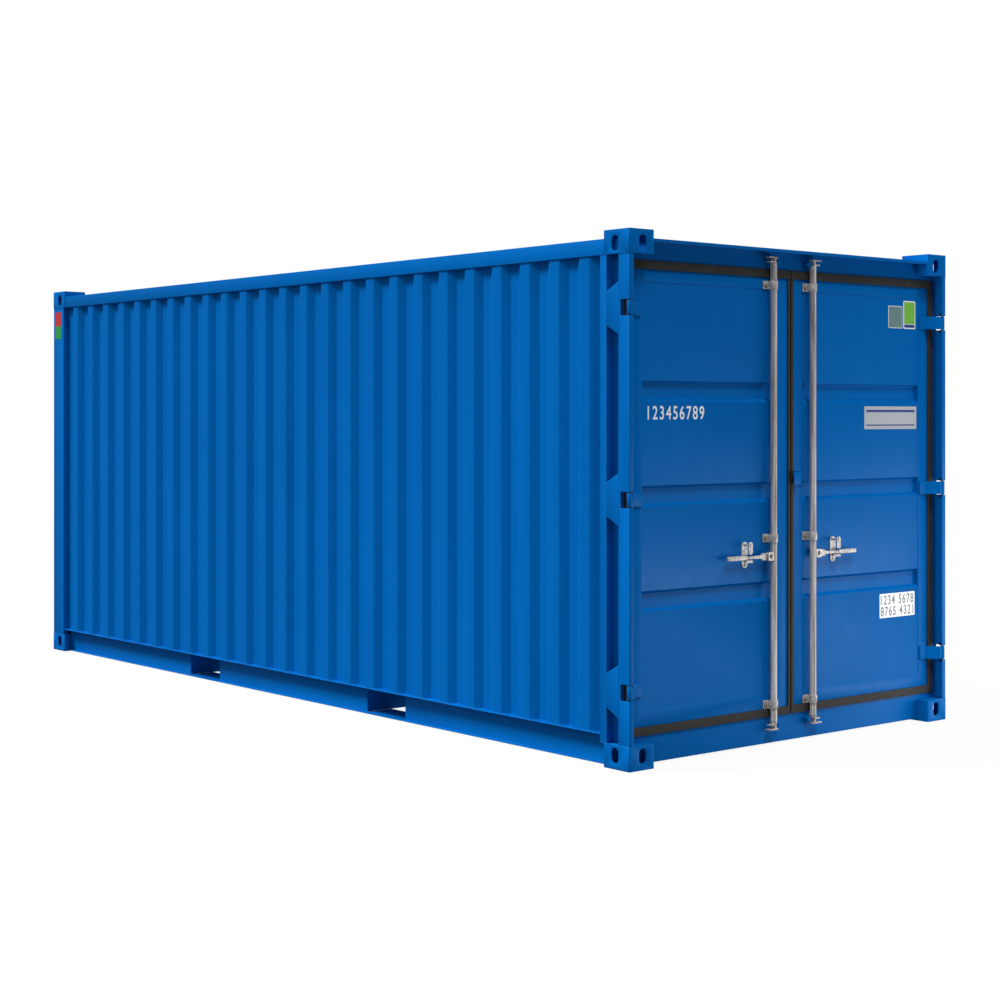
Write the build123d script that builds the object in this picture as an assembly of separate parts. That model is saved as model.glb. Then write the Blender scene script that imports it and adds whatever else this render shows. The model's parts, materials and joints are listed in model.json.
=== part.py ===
from build123d import *
import math
import os

# A 20 foot steel shipping container, millimetres. The origin is at the bottom centre.
# X runs along the length with the doors at +X, Y across the width, Z up.

# overall
length = 6058
width = 2438
height = 2591
face_inset = 2            # posts stand this far inside the corner fittings' faces

# corner fittings
fitting_length = 178
fitting_width = 162
fitting_height = 118
fitting_wall = 12
fitting_load_plate = 28   # the plate that carries the twist lock
fitting_seat_plate = 16   # the plate that the post stands on
lock_inset_x = 102.5      # middle of the twist lock's slot from the fitting's two outer faces
lock_inset_y = 89.5
lock_slot_length = 124
lock_slot_width = 63.5
side_slot_height = 79
side_slot_width = 51
side_slot_from_end = 101.5
side_slot_from_load_face = 66
side_slot_end_steps = 8   # short straight steps that make each round end of a side slot
fitting_edge_radius = 6

# rails along the long sides
top_rail_drop = 40        # top of the rail below the top of the fittings
top_rail_height = 78
top_rail_width = 60
top_rail_wall = 4
top_rail_inset = 3
rail_sheet = 4
floor_rail_top = 158
floor_rail_bottom = 6
ledge_inset = 5           # edge of the rail's ledge behind the fittings' faces
web_inset = 60            # outer face of the rail's web behind the fittings' faces
foot_width = 28           # lower flange of the rail, outwards from its web

# corrugated panels
panel_sheet = 2
panel_outer_inset = 10
corrugation_depth = 30
corrugation_pitch = 225
corrugation_crest = 72
corrugation_flank = 45
corrugation_end_flat = 10 # least flat stretch at the ends of a wall
roof_sheet = 2
roof_depth = 20
roof_end_plate = 4
roof_joint = 1            # welded joint between the roof's sheet and its end plates

# posts at the door end
post_sheet = 4
door_post_front_width = 30    # lip of the post, seen from the doors
door_post_groove_width = 85
door_post_groove_depth = 48
door_post_strip_width = 46
door_post_flange = 40
reveal_plate = 12
reveal_plate_length = 114

# posts at the rear end
rear_post_size = 157
rear_post_sheet = 6
rear_post_flange = 40

# door frame
shoulder_depth = 74       # the face that the door seals lie on, behind the front plane
header_height = 135
header_depth = 75
header_sheet = 4
header_lip_reach = 65
header_lip_height = 17
sill_top = 170
sill_bottom = 12
sill_depth = 75

# floor and what carries it
floor_top = 170
floor_thickness = 28
floor_panels = 5
floor_joint = 4
cross_member_width = 45
cross_member_sheet = 4
cross_member_drop = 20    # lower edge above the ground
cross_member_pitch = 310  # between the fork pockets and the ends
middle_member_pitch = 280 # between the two fork pockets
member_from_pocket = 232  # least distance of a member's middle from a pocket
pocket_spacing = 1976
pocket_width = 360
pocket_sheet = 4

# door leaves
leaf_thickness = 60
leaf_sheet = 3
leaf_edge_gap = 9         # steel edge to the post, header or plate beside it
leaf_centre_gap = 24      # steel to steel in the middle of the doorway
leaf_top_gap = 8
leaf_bottom_gap = 20
leaf_stile_outer = 78
leaf_stile_inner = 84
leaf_top_rail = 60
leaf_bottom_rail = 75
panel_recess = 3
groove_height = 100
groove_depth = 20
groove_slope = 14
groove_count = 3
groove_end_flat = 480.5   # plain stretch of the panel above the last groove and below the first

# seals
seal_thickness = 8
seal_lap = 42
seal_edge = 4
seal_rest_gap = 0.3
seal_centre_half_gap = 3.5
seal_centre_lap = 21.5
seal_edge_depth = 30

# hinges
hinge_axis_inset = 14     # axis inside the two outer planes of the corner
hinge_pin_radius = 7
hinge_pin_clearance = 0.4
hinge_barrel_radius = 12
hinge_above_bottom = 184  # lowest hinge above the leaf's lower edge
hinge_below_top = 194     # highest hinge below the leaf's upper edge
hinge_count = 3
hinge_blade_height = 70
hinge_notch_height = 78
hinge_notch_depth = 64     # notch in the post, back from the front plane
hinge_blade_thickness = 9
hinge_blade_front = 21    # straight stretch of the blade beside the barrel
hinge_blade_slope = 66
hinge_blade_plate = 45
hinge_lug_height = 14
hinge_lug_wall = 6        # of the lug round the pin, towards the doorway
gusset_tall = 256
gusset_short = 166
gusset_thickness = 6

# locking bars
bar_radius = 16.85
bar_bore_radius = 13
bar_offset = 152          # from the middle of the doorway
bar_gap = 10              # bar to the face of the leaf
bar_over_header = 52      # end of the bar above the header's lower edge
bar_under_sill = 42       # end of the bar below the sill's top
cam_reach = 44            # height of the cam beyond the bar's end
cam_collar_height = 14
cam_web_thickness = 8
cam_web_depth = 30
cam_head_outer = 50       # arm of the cam's head towards the hinges
cam_head_inner = 16       # arm of the cam's head towards the middle
cam_head_front = 17
cam_head_back = 12
cam_head_thickness = 7
cam_lug_length = 38
keeper_offset = 24        # side of the keeper from the bar's axis, towards the middle
keeper_width = 22
keeper_depth = 34
keeper_clearance = 6

# guides that hold the bars
guide_above_bottom = 23   # middle of the lowest guide above the leaf's lower edge
guide_below_top = 41
guide_over_handle = 92
guide_height = 43
guide_base = 5
guide_strap = 4
guide_clearance = 0.5
guide_reach = 33          # base plate beyond the strap
guide_tail = 13
bolt_head_radius = 9
bolt_head_height = 6

# handles
handle_height = 975
handle_pivot_offset = 33  # pivot bolt beside the bar's axis
handle_setback = 1        # middle of the handle behind the bar's axis
handle_pivot_radius = 6
handle_pivot_clearance = 0.3
hub_height = 44
hub_plate = 6
hub_slot = 10
hub_reach = 20
hub_slot_end = 2          # slot's end beside the bar
handle_plate_thickness = 8
handle_corner = 2.5       # broken corners of neck and grip
handle_plate_height = 24
handle_plate_length = 62
handle_neck_length = 60
handle_neck_height = 14
handle_neck_thickness = 12
handle_grip_start = 196
handle_grip_length = 117
handle_grip_height = 24
handle_grip_thickness = 15

# handle retainers and catches
retainer_offset = 341
retainer_width = 57
retainer_above = 80       # upper and lower end of the plate from the handle's axis
retainer_below = 53
retainer_plate = 4
retainer_shelf_thickness = 5
retainer_shelf_gap = 0.5
retainer_shelf_reach = 40
retainer_lip_gap = 4      # lower edge of the shelf's lip above the plate's foot
catch_pivot_above = 65    # rivet above the handle's axis
catch_pivot_radius = 5
catch_pivot_clearance = 0.4
catch_thickness = 4
catch_clearance = 6
catch_width = 44
catch_crown = 15          # top of the catch above its rivet
catch_washer = 0.4
catch_gap = 5.5           # catch in front of the handle
catch_head = 3            # head of the rivet, and how far head and collar stand out round it

# tab over the joint between the leaves
tab_over_middle = 71      # middle of the tab above the middle of the leaf
tab_size = 66
tab_foot_width = 38
tab_slope_width = 8
tab_reach_width = 38
tab_thickness = 8
tab_rise = 20
tab_tip_gap = 3.5

# values that follow
half_length = length / 2
half_width = width / 2
post_side = half_width - face_inset
post_front = half_length - face_inset
lock_x = half_length - lock_inset_x
lock_y = half_width - lock_inset_y
shoulder = half_length - shoulder_depth
top_rail_top = height - top_rail_drop
top_rail_bottom = top_rail_top - top_rail_height
wall_outer = half_width - panel_outer_inset
wall_inner = wall_outer - corrugation_depth
web_outer = half_width - web_inset
rail_ledge = half_width - ledge_inset
groove_back = post_side - door_post_groove_depth
doorway_half = groove_back - post_sheet - reveal_plate
door_post_back = shoulder - post_sheet - door_post_groove_width - door_post_strip_width
rear_post_front = -half_length + rear_post_size
rear_post_edge = half_width - rear_post_size
header_back = shoulder - header_depth
header_bottom = top_rail_top - header_height
floor_bottom = floor_top - floor_thickness
leaf_outer = doorway_half - leaf_edge_gap
leaf_inner = leaf_centre_gap / 2
leaf_top = header_bottom - leaf_top_gap
leaf_bottom = sill_top + leaf_bottom_gap
leaf_front = shoulder
leaf_back = leaf_front - leaf_thickness
panel_front = leaf_front - panel_recess
hinge_x = half_length - hinge_axis_inset
hinge_y = half_width - hinge_axis_inset
hinge_lowest = leaf_bottom + hinge_above_bottom
hinge_highest = leaf_top - hinge_below_top
hinge_pitch = (hinge_highest - hinge_lowest) / (hinge_count - 1)
hinge_heights = [hinge_lowest + hinge_pitch * n for n in range(hinge_count)]
bar_top = header_bottom + bar_over_header
bar_bottom = sill_top - bar_under_sill
guide_heights = (leaf_bottom + guide_above_bottom, handle_height + guide_over_handle,
                 leaf_top - guide_below_top)
bar_x = leaf_front + bar_gap + bar_radius
handle_x = bar_x - handle_setback
catch_x = handle_x + handle_grip_thickness / 2 + catch_gap
catch_pivot_height = handle_height + catch_pivot_above
retainer_top = handle_height + retainer_above
retainer_bottom = handle_height - retainer_below
tab_height = (leaf_bottom + leaf_top) / 2 + tab_over_middle
left = -1
right = 1


def block(x0, x1, y0, y1, z0, z1):
    """A box between three pairs of planes, given in any order."""
    low = (min(x0, x1), min(y0, y1), min(z0, z1))
    size = (abs(x1 - x0), abs(y1 - y0), abs(z1 - z0))
    return Pos(*low) * Box(*size, align=Align.MIN)


def prism_z(points, z0, z1):
    """A plan outline carried upwards."""
    face = make_face(Polyline(*points, close=True))
    return Pos(0, 0, z0) * extrude(face, z1 - z0, dir=(0, 0, 1))


def prism_y(points, y0, y1):
    """An outline in X and Z carried across the width."""
    outline = Polyline(*[(x, y0, z) for x, z in points], close=True)
    return extrude(make_face(outline), y1 - y0, dir=(0, 1, 0))


def prism_x(points, x0, x1):
    """An outline in Y and Z carried along the length."""
    outline = Polyline(*[(x0, y, z) for y, z in points], close=True)
    return extrude(make_face(outline), x1 - x0, dir=(1, 0, 0))


def sheet_outline(path, thickness):
    """The outline of a bent sheet: a path and its mitred offset to the left."""
    edges = []
    for (ax, ay), (bx, by) in zip(path, path[1:]):
        run = math.hypot(bx - ax, by - ay)
        edges.append(((bx - ax) / run, (by - ay) / run))
    offset = []
    for index, (px, py) in enumerate(path):
        before = edges[max(index - 1, 0)]
        after = edges[min(index, len(edges) - 1)]
        nx = -(before[1] + after[1])
        ny = before[0] + after[0]
        scale = 2 * thickness / (nx * nx + ny * ny)
        offset.append((px + nx * scale, py + ny * scale))
    return list(path) + offset[::-1]


def corrugation(start, end, high, low):
    """Points of a trapezoid wave about the middle, as many crests as fit, with a flat at each end."""
    crest = corrugation_crest / 2
    flank = crest + corrugation_flank
    reach = min(-start, end) - corrugation_end_flat - flank
    crests = int(2 * reach / corrugation_pitch) + 1
    points = [(start, low)]
    for index in range(crests):
        middle = (index - (crests - 1) / 2) * corrugation_pitch
        points += [(middle - flank, low), (middle - crest, high)]
        points += [(middle + crest, high), (middle + flank, low)]
    points.append((end, low))
    return points


def corrugated_outline(points, thickness):
    """A wave and the same wave one sheet further in."""
    return points + [(u, depth - thickness) for u, depth in points[::-1]]


def rod_x(x0, x1, y, z, radius):
    """A round bar along X."""
    return Pos((x0 + x1) / 2, y, z) * Rot(0, 90, 0) * Cylinder(radius, x1 - x0)


def on_side(shape, side):
    """The shape as drawn for the +Y side, or mirrored to the other side."""
    return shape if side == right else mirror(shape, Plane.XZ)


def both_sides(shape):
    """A piece and its mirror image on the other side."""
    return [mirror(shape, Plane.XZ), shape]


def save(name, *shapes):
    """Write the solids of one sub-part to its own file."""
    solids = [solid for shape in shapes for solid in shape.solids()]
    solids = [Solid(solid.wrapped) for solid in solids]
    whole = solids[0] if len(solids) == 1 else Compound(children=solids)
    export_step(whole, f"parts/{name}.step")


# Corner fittings

def corner_fitting():
    """The fitting at +X, +Y, standing on the ground with its load plate down."""
    x0 = half_length - fitting_length
    y0 = half_width - fitting_width
    body = block(x0, half_length, y0, half_width, 0, fitting_height)
    edges = body.edges().filter_by(Axis.Z).group_by(Axis.X)[-1]
    body = fillet(edges.sort_by(Axis.Y)[-1:], fitting_edge_radius)
    cavity_x = (x0 + fitting_wall, half_length - fitting_wall)
    cavity_y = (y0 + fitting_wall, half_width - fitting_wall)
    cavity_z = (fitting_load_plate, fitting_height - fitting_seat_plate)
    body -= block(*cavity_x, *cavity_y, *cavity_z)
    lock_slot = extrude(SlotOverall(lock_slot_length, lock_slot_width), fitting_load_plate)
    body -= Pos(lock_x, lock_y, 0) * lock_slot
    side_slot = extrude(side_slot_face(), fitting_wall)
    end_x = half_length - side_slot_from_end
    body -= Pos(end_x, half_width, side_slot_from_load_face) * Rot(90, 0, 0) * side_slot
    front = Plane((half_length, lock_y, side_slot_from_load_face), x_dir=(0, 1, 0), z_dir=(-1, 0, 0))
    return body - front * side_slot


def side_slot_face():
    """An upright slot whose round ends are drawn in short straight steps."""
    radius = side_slot_width / 2
    straight = side_slot_height / 2 - radius
    points = []
    for end in (right, left):
        for step in range(side_slot_end_steps + 1):
            angle = math.pi * step / side_slot_end_steps
            points.append((end * radius * math.cos(angle), end * (straight + radius * math.sin(angle))))
    return make_face(Polyline(*points, close=True))


def corner_fittings():
    """Four fittings at the bottom, and four turned over at the top."""
    bottom = corner_fitting()
    top = mirror(bottom, Plane.XY.offset(height / 2))
    for name, piece in (("corner_fittings_bottom", bottom), ("corner_fittings_top", top)):
        pair = both_sides(piece)
        save(name, *pair, *[mirror(one, Plane.YZ) for one in pair])


# Rails along the long sides

def top_side_rail():
    """A hollow rail between the top fittings."""
    outer = half_width - top_rail_inset
    inner = outer - top_rail_width
    reach = half_length - fitting_length
    wall = top_rail_wall
    rail = block(-reach, reach, inner, outer, top_rail_bottom, top_rail_top)
    rail -= block(-reach, reach, inner + wall, outer - wall, top_rail_bottom + wall, top_rail_top - wall)
    return rail


def bottom_side_rail():
    """A pressed rail in three lengths between the fork openings: ledge above, set-back web, narrow foot."""
    path = [(rail_ledge, floor_rail_top), (web_outer - rail_sheet, floor_rail_top),
            (web_outer - rail_sheet, floor_rail_bottom), (web_outer + foot_width, floor_rail_bottom)]
    reach = half_length - fitting_length
    rail = prism_x(sheet_outline(path, rail_sheet), rear_post_front, reach)
    far = half_width + 1
    rail -= block(door_post_back, reach, 0, far, fitting_height, height)
    rail -= block(rear_post_front, -reach, 0, far, 0, fitting_height)
    for side in (left, right):
        middle = side * pocket_spacing / 2
        rail -= block(middle - pocket_width / 2, middle + pocket_width / 2, 0, far, 0, height)
    return rail


def pocket_straps():
    """Plates that carry the rail's ledge and foot across the two fork openings."""
    straps = []
    for side in (left, right):
        middle = side * pocket_spacing / 2
        span = (middle - pocket_width / 2, middle + pocket_width / 2)
        back = web_outer - rail_sheet
        foot = (floor_rail_bottom, floor_rail_bottom + rail_sheet)
        straps.append(block(*span, back, rail_ledge, floor_rail_top - rail_sheet, floor_rail_top))
        straps.append(block(*span, back, web_outer + foot_width, *foot))
    return straps


# Walls and roof

def side_wall():
    """One long corrugated wall, standing on the rail's ledge."""
    wave = corrugation(rear_post_front, door_post_back, wall_outer, wall_inner)
    return prism_z(corrugated_outline(wave, panel_sheet), floor_rail_top, top_rail_bottom)


def rear_wall():
    """The corrugated wall at the closed end."""
    outer = half_length - panel_outer_inset
    wave = corrugation(-rear_post_edge, rear_post_edge, outer, outer - corrugation_depth)
    points = [(-depth, across) for across, depth in corrugated_outline(wave, panel_sheet)]
    return prism_z(points, floor_rail_top, top_rail_bottom)


def roof():
    """A shallow corrugated sheet between the long rails, and flat plates between the fittings at its ends."""
    reach = half_length - fitting_length
    low = top_rail_top - roof_depth
    wave = corrugation(-reach, reach, top_rail_top, low)
    inner = half_width - top_rail_inset - top_rail_width
    sheet = prism_y(corrugated_outline(wave, roof_sheet), -inner, inner)
    half = half_width - fitting_width
    levels = (low - roof_end_plate, low)
    rear = -half_length + top_rail_inset + top_rail_width
    rear_plate = block(rear, -reach - roof_joint, -half, half, *levels)
    door_plate = block(reach + roof_joint, header_back, -half, half, *levels)
    return [sheet, rear_plate, door_plate]


# Rear end

def rear_post():
    """A hollow five-sided post at the closed end."""
    back = -half_length + face_inset
    flange = rear_post_flange
    outline = [(rear_post_front, post_side), (back, post_side), (back, rear_post_edge),
               (back + flange, rear_post_edge), (rear_post_front, post_side - flange)]
    face = make_face(Polyline(*outline, close=True))
    hollow = offset(face, amount=-rear_post_sheet, kind=Kind.INTERSECTION)
    post = extrude(face - hollow, top_rail_bottom - fitting_height, dir=(0, 0, 1))
    return Pos(0, 0, fitting_height) * post


def rear_bottom_rail():
    """The same section as the long bottom rails, across the closed end."""
    web_x = -half_length + web_inset + rail_sheet
    path = [(-half_length + ledge_inset, floor_rail_top), (web_x, floor_rail_top), (web_x, floor_rail_bottom),
            (web_x - rail_sheet - foot_width, floor_rail_bottom)]
    outline = sheet_outline(path, -rail_sheet)
    rail = prism_y(outline, -rear_post_edge, rear_post_edge)
    fitting_edge = half_width - fitting_width
    for side in (left, right):
        rail -= block(-half_length, 0, side * fitting_edge, side * half_width, 0, fitting_height)
    return rail


def rear_top_rail():
    """A hollow rail between the two top fittings of the closed end."""
    reach = half_width - fitting_width
    outer = -half_length + top_rail_inset
    inner = outer + top_rail_width
    wall = top_rail_wall
    rail = block(outer, inner, -reach, reach, top_rail_bottom, top_rail_top)
    rail -= block(outer + wall, inner - wall, -reach, reach, top_rail_bottom + wall, top_rail_top - wall)
    return rail


# Door frame

def door_post():
    """The pressed door post in plan: lip, side, shoulder, groove and rear strip, notched at each hinge."""
    lip = post_side - door_post_front_width
    front = post_front
    back = door_post_back
    groove_front = shoulder - post_sheet
    groove_rear = groove_front - door_post_groove_width
    path = [(front, lip), (front, post_side), (groove_front, post_side), (groove_front, groove_back),
            (groove_rear, groove_back), (groove_rear, post_side), (back, post_side),
            (back, post_side - door_post_flange)]
    post = prism_z(door_post_outline(path), fitting_height, top_rail_bottom)
    notch_back = half_length - hinge_notch_depth
    for middle in hinge_heights:
        post -= block(notch_back, half_length, lip - 1, half_width,
                      middle - hinge_notch_height / 2, middle + hinge_notch_height / 2)
    return post


def door_post_outline(path):
    """The post's bent sheet, with the groove's walls drawn inside and outside its path in turn."""
    front, lip = path[0]
    back = path[-1][0]
    sheet = post_sheet
    inner = [(back + sheet, path[-1][1]), (back + sheet, post_side - sheet),
             (path[5][0] - sheet, post_side - sheet), (path[4][0] - sheet, groove_back - sheet),
             (path[3][0] + sheet, groove_back - sheet), (path[2][0] + sheet, post_side - sheet),
             (front - sheet, post_side - sheet), (front - sheet, lip)]
    return path + inner


def reveal_plate_piece():
    """The thick plate behind the post's groove, whose front edge lies in the shoulder's plane."""
    return block(shoulder - reveal_plate_length, shoulder, doorway_half, groove_back - post_sheet,
                 fitting_height, top_rail_bottom)


def hinge_gussets():
    """Tapered plates that close the groove of the post beside each hinge."""
    groove_front = shoulder - post_sheet
    groove_rear = groove_front - door_post_groove_width
    plates = []
    for middle in hinge_heights:
        points = [(groove_rear, middle - gusset_short / 2), (groove_front, middle - gusset_tall / 2),
                  (groove_front, middle + gusset_tall / 2), (groove_rear, middle + gusset_short / 2)]
        plates.append(prism_y(points, post_side - gusset_thickness, post_side))
    return plates


def hinge_pins():
    """A pin at each notch, with the lug above and the lug below that hold it in the post."""
    pins = []
    inner_y = post_side - post_sheet
    inner_x = post_front - post_sheet
    lug_size = inner_y - (hinge_y - hinge_pin_radius - hinge_lug_wall)
    for middle in hinge_heights:
        reach = hinge_notch_height / 2
        pin = Pos(hinge_x, hinge_y, middle) * Cylinder(hinge_pin_radius, 2 * (reach + hinge_lug_height))
        for end in (left, right):
            z0 = middle + end * reach
            z1 = z0 + end * hinge_lug_height
            pin += block(inner_x - lug_size, inner_x, inner_y - lug_size, inner_y, z0, z1)
        pins.append(pin)
    return pins


def door_header():
    """The hollow header: a set-back web, a top flange that reaches forward, and a turned-down lip."""
    reach = doorway_half
    wall = header_sheet
    outer = block(header_back, shoulder, -reach, reach, header_bottom, top_rail_top)
    beam = outer - block(header_back + wall, shoulder - wall, -reach, reach,
                         header_bottom + wall, top_rail_top - wall)
    front = shoulder + header_lip_reach
    beam += block(shoulder - wall, front, -reach, reach, top_rail_top - wall, top_rail_top)
    beam += block(front - wall, front, -reach, reach, top_rail_top - header_lip_height, top_rail_top)
    return clear_of_fittings(beam, top_rail_bottom, height)


def door_sill():
    """The hollow sill, whose front face lies in the shoulder's plane."""
    wall = header_sheet
    back = shoulder - sill_depth
    beam = block(back, shoulder, -doorway_half, doorway_half, sill_bottom, sill_top)
    beam -= block(back + wall, shoulder - wall, -doorway_half, doorway_half,
                  sill_bottom + wall, sill_top - wall)
    return clear_of_fittings(beam, 0, fitting_height)


def clear_of_fittings(beam, z0, z1):
    """Cut a beam of the door end back from the two corner fittings."""
    edge = half_width - fitting_width
    start = half_length - fitting_length
    for side in (left, right):
        beam -= block(start, half_length, side * edge, side * half_width, z0, z1)
    return beam


# Floor

def floor_boards():
    """Plywood panels laid end to end on the cross members, between the rails' webs."""
    start = -half_length + web_inset + rail_sheet
    end = header_back
    half = web_outer - rail_sheet - floor_joint / 2
    size = (end - start - floor_joint * (floor_panels - 1)) / floor_panels
    panels = []
    for index in range(floor_panels):
        x0 = start + index * (size + floor_joint)
        panels.append(block(x0, x0 + size, -half, half, floor_bottom, floor_top))
    reveal_back = shoulder - reveal_plate_length
    for side in (left, right):
        panels[0] -= block(start, rear_post_front, side * rear_post_edge, side * half_width, 0, height)
        panels[-1] -= block(reveal_back, end, side * doorway_half, side * half_width, 0, height)
    return panels


def cross_members():
    """Pressed channels under the floor, from web to web."""
    reach = web_outer - rail_sheet
    channels = []
    pocket_middle = pocket_spacing / 2
    clear = pocket_width / 2 + member_from_pocket
    inner_count = int((pocket_middle - clear) / middle_member_pitch)
    outer_count = int((header_back - cross_member_width / 2 - pocket_middle - clear) / cross_member_pitch) + 1
    stations = [middle_member_pitch * n for n in range(-inner_count, inner_count + 1)]
    for side in (left, right):
        stations += [side * (pocket_middle + clear + cross_member_pitch * n) for n in range(outer_count)]
    for station in stations:
        x0 = station - cross_member_width / 2
        x1 = x0 + cross_member_width
        channel = block(x0, x1, -reach, reach, cross_member_drop, floor_bottom)
        channel -= block(x0 + cross_member_sheet, x1, -reach, reach,
                         cross_member_drop + cross_member_sheet, floor_bottom - cross_member_sheet)
        channels.append(channel)
    return channels


def fork_pocket_sides():
    """The upright plates on both sides of the two tunnels through the base."""
    reach = web_outer - rail_sheet
    low = floor_rail_bottom + rail_sheet
    high = floor_bottom - pocket_sheet
    plates = []
    for middle in (-pocket_spacing / 2, pocket_spacing / 2):
        for side in (left, right):
            face = middle + side * pocket_width / 2
            plates.append(block(face, face + side * pocket_sheet, -reach, reach, low, high))
    return plates


def fork_pocket_roofs():
    """The plates over the two tunnels, on the side plates and under the floor."""
    reach = web_outer - rail_sheet
    half = pocket_width / 2 + pocket_sheet
    return [block(middle - half, middle + half, -reach, reach, floor_bottom - pocket_sheet, floor_bottom)
            for middle in (-pocket_spacing / 2, pocket_spacing / 2)]


# Door leaves

def leaf_frame():
    """The leaf's rim: a channel that is open towards its outer edges."""
    body = block(leaf_back, leaf_front, leaf_inner, leaf_outer, leaf_bottom, leaf_top)
    window = (leaf_inner + leaf_stile_inner, leaf_outer - leaf_stile_outer,
              leaf_bottom + leaf_bottom_rail, leaf_top - leaf_top_rail)
    sheet = leaf_sheet
    body -= block(leaf_back, leaf_front, *window)
    mouth = block(leaf_back + sheet, leaf_front - sheet, leaf_inner, leaf_outer, leaf_bottom, leaf_top)
    mouth -= block(leaf_back, leaf_front, window[0] - sheet, window[1] + sheet,
                   window[2] - sheet, window[3] + sheet)
    return body - mouth, window


def leaf_panel(window):
    """The pressed panel: a thin sheet with recessed bands across it."""
    front = panel_front
    half = groove_height / 2
    lowest = window[2] + groove_end_flat + half
    groove_pitch = (window[3] - groove_end_flat - half - lowest) / (groove_count - 1)
    points = [(front, window[2])]
    for index in range(groove_count):
        centre = lowest + index * groove_pitch
        points += [(front, centre - half), (front - groove_depth, centre - half + groove_slope),
                   (front - groove_depth, centre + half - groove_slope), (front, centre + half)]
    points.append((front, window[3]))
    outline = points + [(x - leaf_sheet, z) for x, z in points[::-1]]
    return prism_y(outline, window[0], window[1])


def door_leaf():
    """One leaf: rim and pressed panel in one piece."""
    frame, window = leaf_frame()
    return frame + leaf_panel(window)


def door_seal():
    """The seal round a leaf: a flat lip over the frame's shoulder, and a short edge beside the leaf."""
    front = shoulder + seal_rest_gap + seal_thickness
    back = shoulder + seal_rest_gap
    low = leaf_bottom - seal_lap
    high = leaf_top + seal_lap
    outer = leaf_outer + seal_lap
    inner = seal_centre_half_gap
    lap = inner + seal_centre_lap
    lip = block(back, front, inner, outer, low, high)
    lip -= block(back, front, lap, leaf_outer, leaf_bottom, leaf_top)
    edge_back = shoulder - seal_edge_depth
    edge = block(edge_back, back, leaf_inner, leaf_outer + seal_edge, leaf_bottom - seal_edge, leaf_top)
    edge -= block(edge_back, back, leaf_inner, leaf_outer, leaf_bottom, leaf_top)
    return lip + edge


# Hinges

def hinge_blade(middle):
    """A forged blade: a barrel on the pin, a front stretch, a slope and the plate on the leaf."""
    z0 = middle - hinge_blade_height / 2
    z1 = middle + hinge_blade_height / 2
    half = hinge_blade_thickness / 2
    plate_x = leaf_front + half
    turn_y = hinge_y - hinge_blade_front
    foot_y = turn_y - hinge_blade_slope
    path = [(hinge_x - half, hinge_y), (hinge_x - half, turn_y), (plate_x - half, foot_y),
            (plate_x - half, foot_y - hinge_blade_plate)]
    outline = sheet_outline(path, hinge_blade_thickness)
    blade = prism_z(outline, z0, z1)
    blade += Pos(hinge_x, hinge_y, middle) * Cylinder(hinge_barrel_radius, hinge_blade_height)
    bore = Cylinder(hinge_pin_radius + hinge_pin_clearance, hinge_blade_height)
    return blade - Pos(hinge_x, hinge_y, middle) * bore


# Locking bars

def bar_tube(side):
    """One tube from the sill's cam to the header's cam."""
    tube = Cylinder(bar_radius, bar_top - bar_bottom) - Cylinder(bar_bore_radius, bar_top - bar_bottom)
    return Pos(bar_x, side * bar_offset, (bar_top + bar_bottom) / 2) * tube


def bar_cam(side, end):
    """A cam on the bar's end: collar, upright web, head plate and short lug."""
    root = bar_top if end == right else bar_bottom
    y = side * bar_offset
    tip = root + end * cam_reach
    web_start = root + end * cam_collar_height
    half_web = cam_web_depth / 2
    half_sheet = cam_web_thickness / 2
    cam = Pos(bar_x, y, root + end * cam_collar_height / 2) * Cylinder(bar_radius, cam_collar_height)
    cam += block(bar_x - half_web, bar_x + half_web, y - half_sheet, y + half_sheet, web_start, tip)
    cam += block(bar_x - cam_head_back, bar_x + cam_head_front, y - side * cam_head_inner,
                 y + side * cam_head_outer, tip, tip - end * cam_head_thickness)
    cam += block(bar_x - half_web, bar_x + half_web, y, y + side * cam_lug_length,
                 web_start, web_start + end * cam_head_thickness)
    return cam


def keeper(side, end):
    """The block on the header or sill that stands beside a locked cam."""
    root = bar_top if end == right else bar_bottom
    y = side * (bar_offset - keeper_offset)
    z0 = root + end * (cam_collar_height - keeper_clearance)
    z1 = root + end * (cam_reach - cam_head_thickness - keeper_clearance)
    return block(shoulder, shoulder + keeper_depth, y, y - side * keeper_width, z0, z1)


def bar_guide(side, middle):
    """A strap over the bar, on a base plate with one bolt."""
    y = side * bar_offset
    inner = bar_radius + guide_clearance
    outer = inner + guide_strap
    z0 = middle - guide_height / 2
    z1 = middle + guide_height / 2
    on_panel = leaf_bottom + leaf_bottom_rail < z0 and z1 < leaf_top - leaf_top_rail
    seat = panel_front if on_panel else leaf_front
    face = seat + guide_base
    base = block(seat, face, y - outer - guide_reach, y + outer + guide_tail, z0, z1)
    strap = Pos(bar_x, y, middle) * Cylinder(outer, guide_height)
    strap += block(face, bar_x, y - outer, y + outer, z0, z1)
    strap -= block(face, bar_x, y - inner, y + inner, z0, z1)
    strap -= Pos(bar_x, y, middle) * Cylinder(inner, guide_height)
    strap -= block(seat - guide_base, face, y - outer, y + outer, z0, z1)
    bolt_y = y - outer - guide_reach / 2
    bolt = Pos(face, bolt_y, middle) * Rot(0, 90, 0) * bolt_head()
    return base + strap + bolt


def bolt_head():
    """A six-sided bolt head standing on its seat."""
    return extrude(RegularPolygon(bolt_head_radius, 6), bolt_head_height)


# Handles

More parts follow.
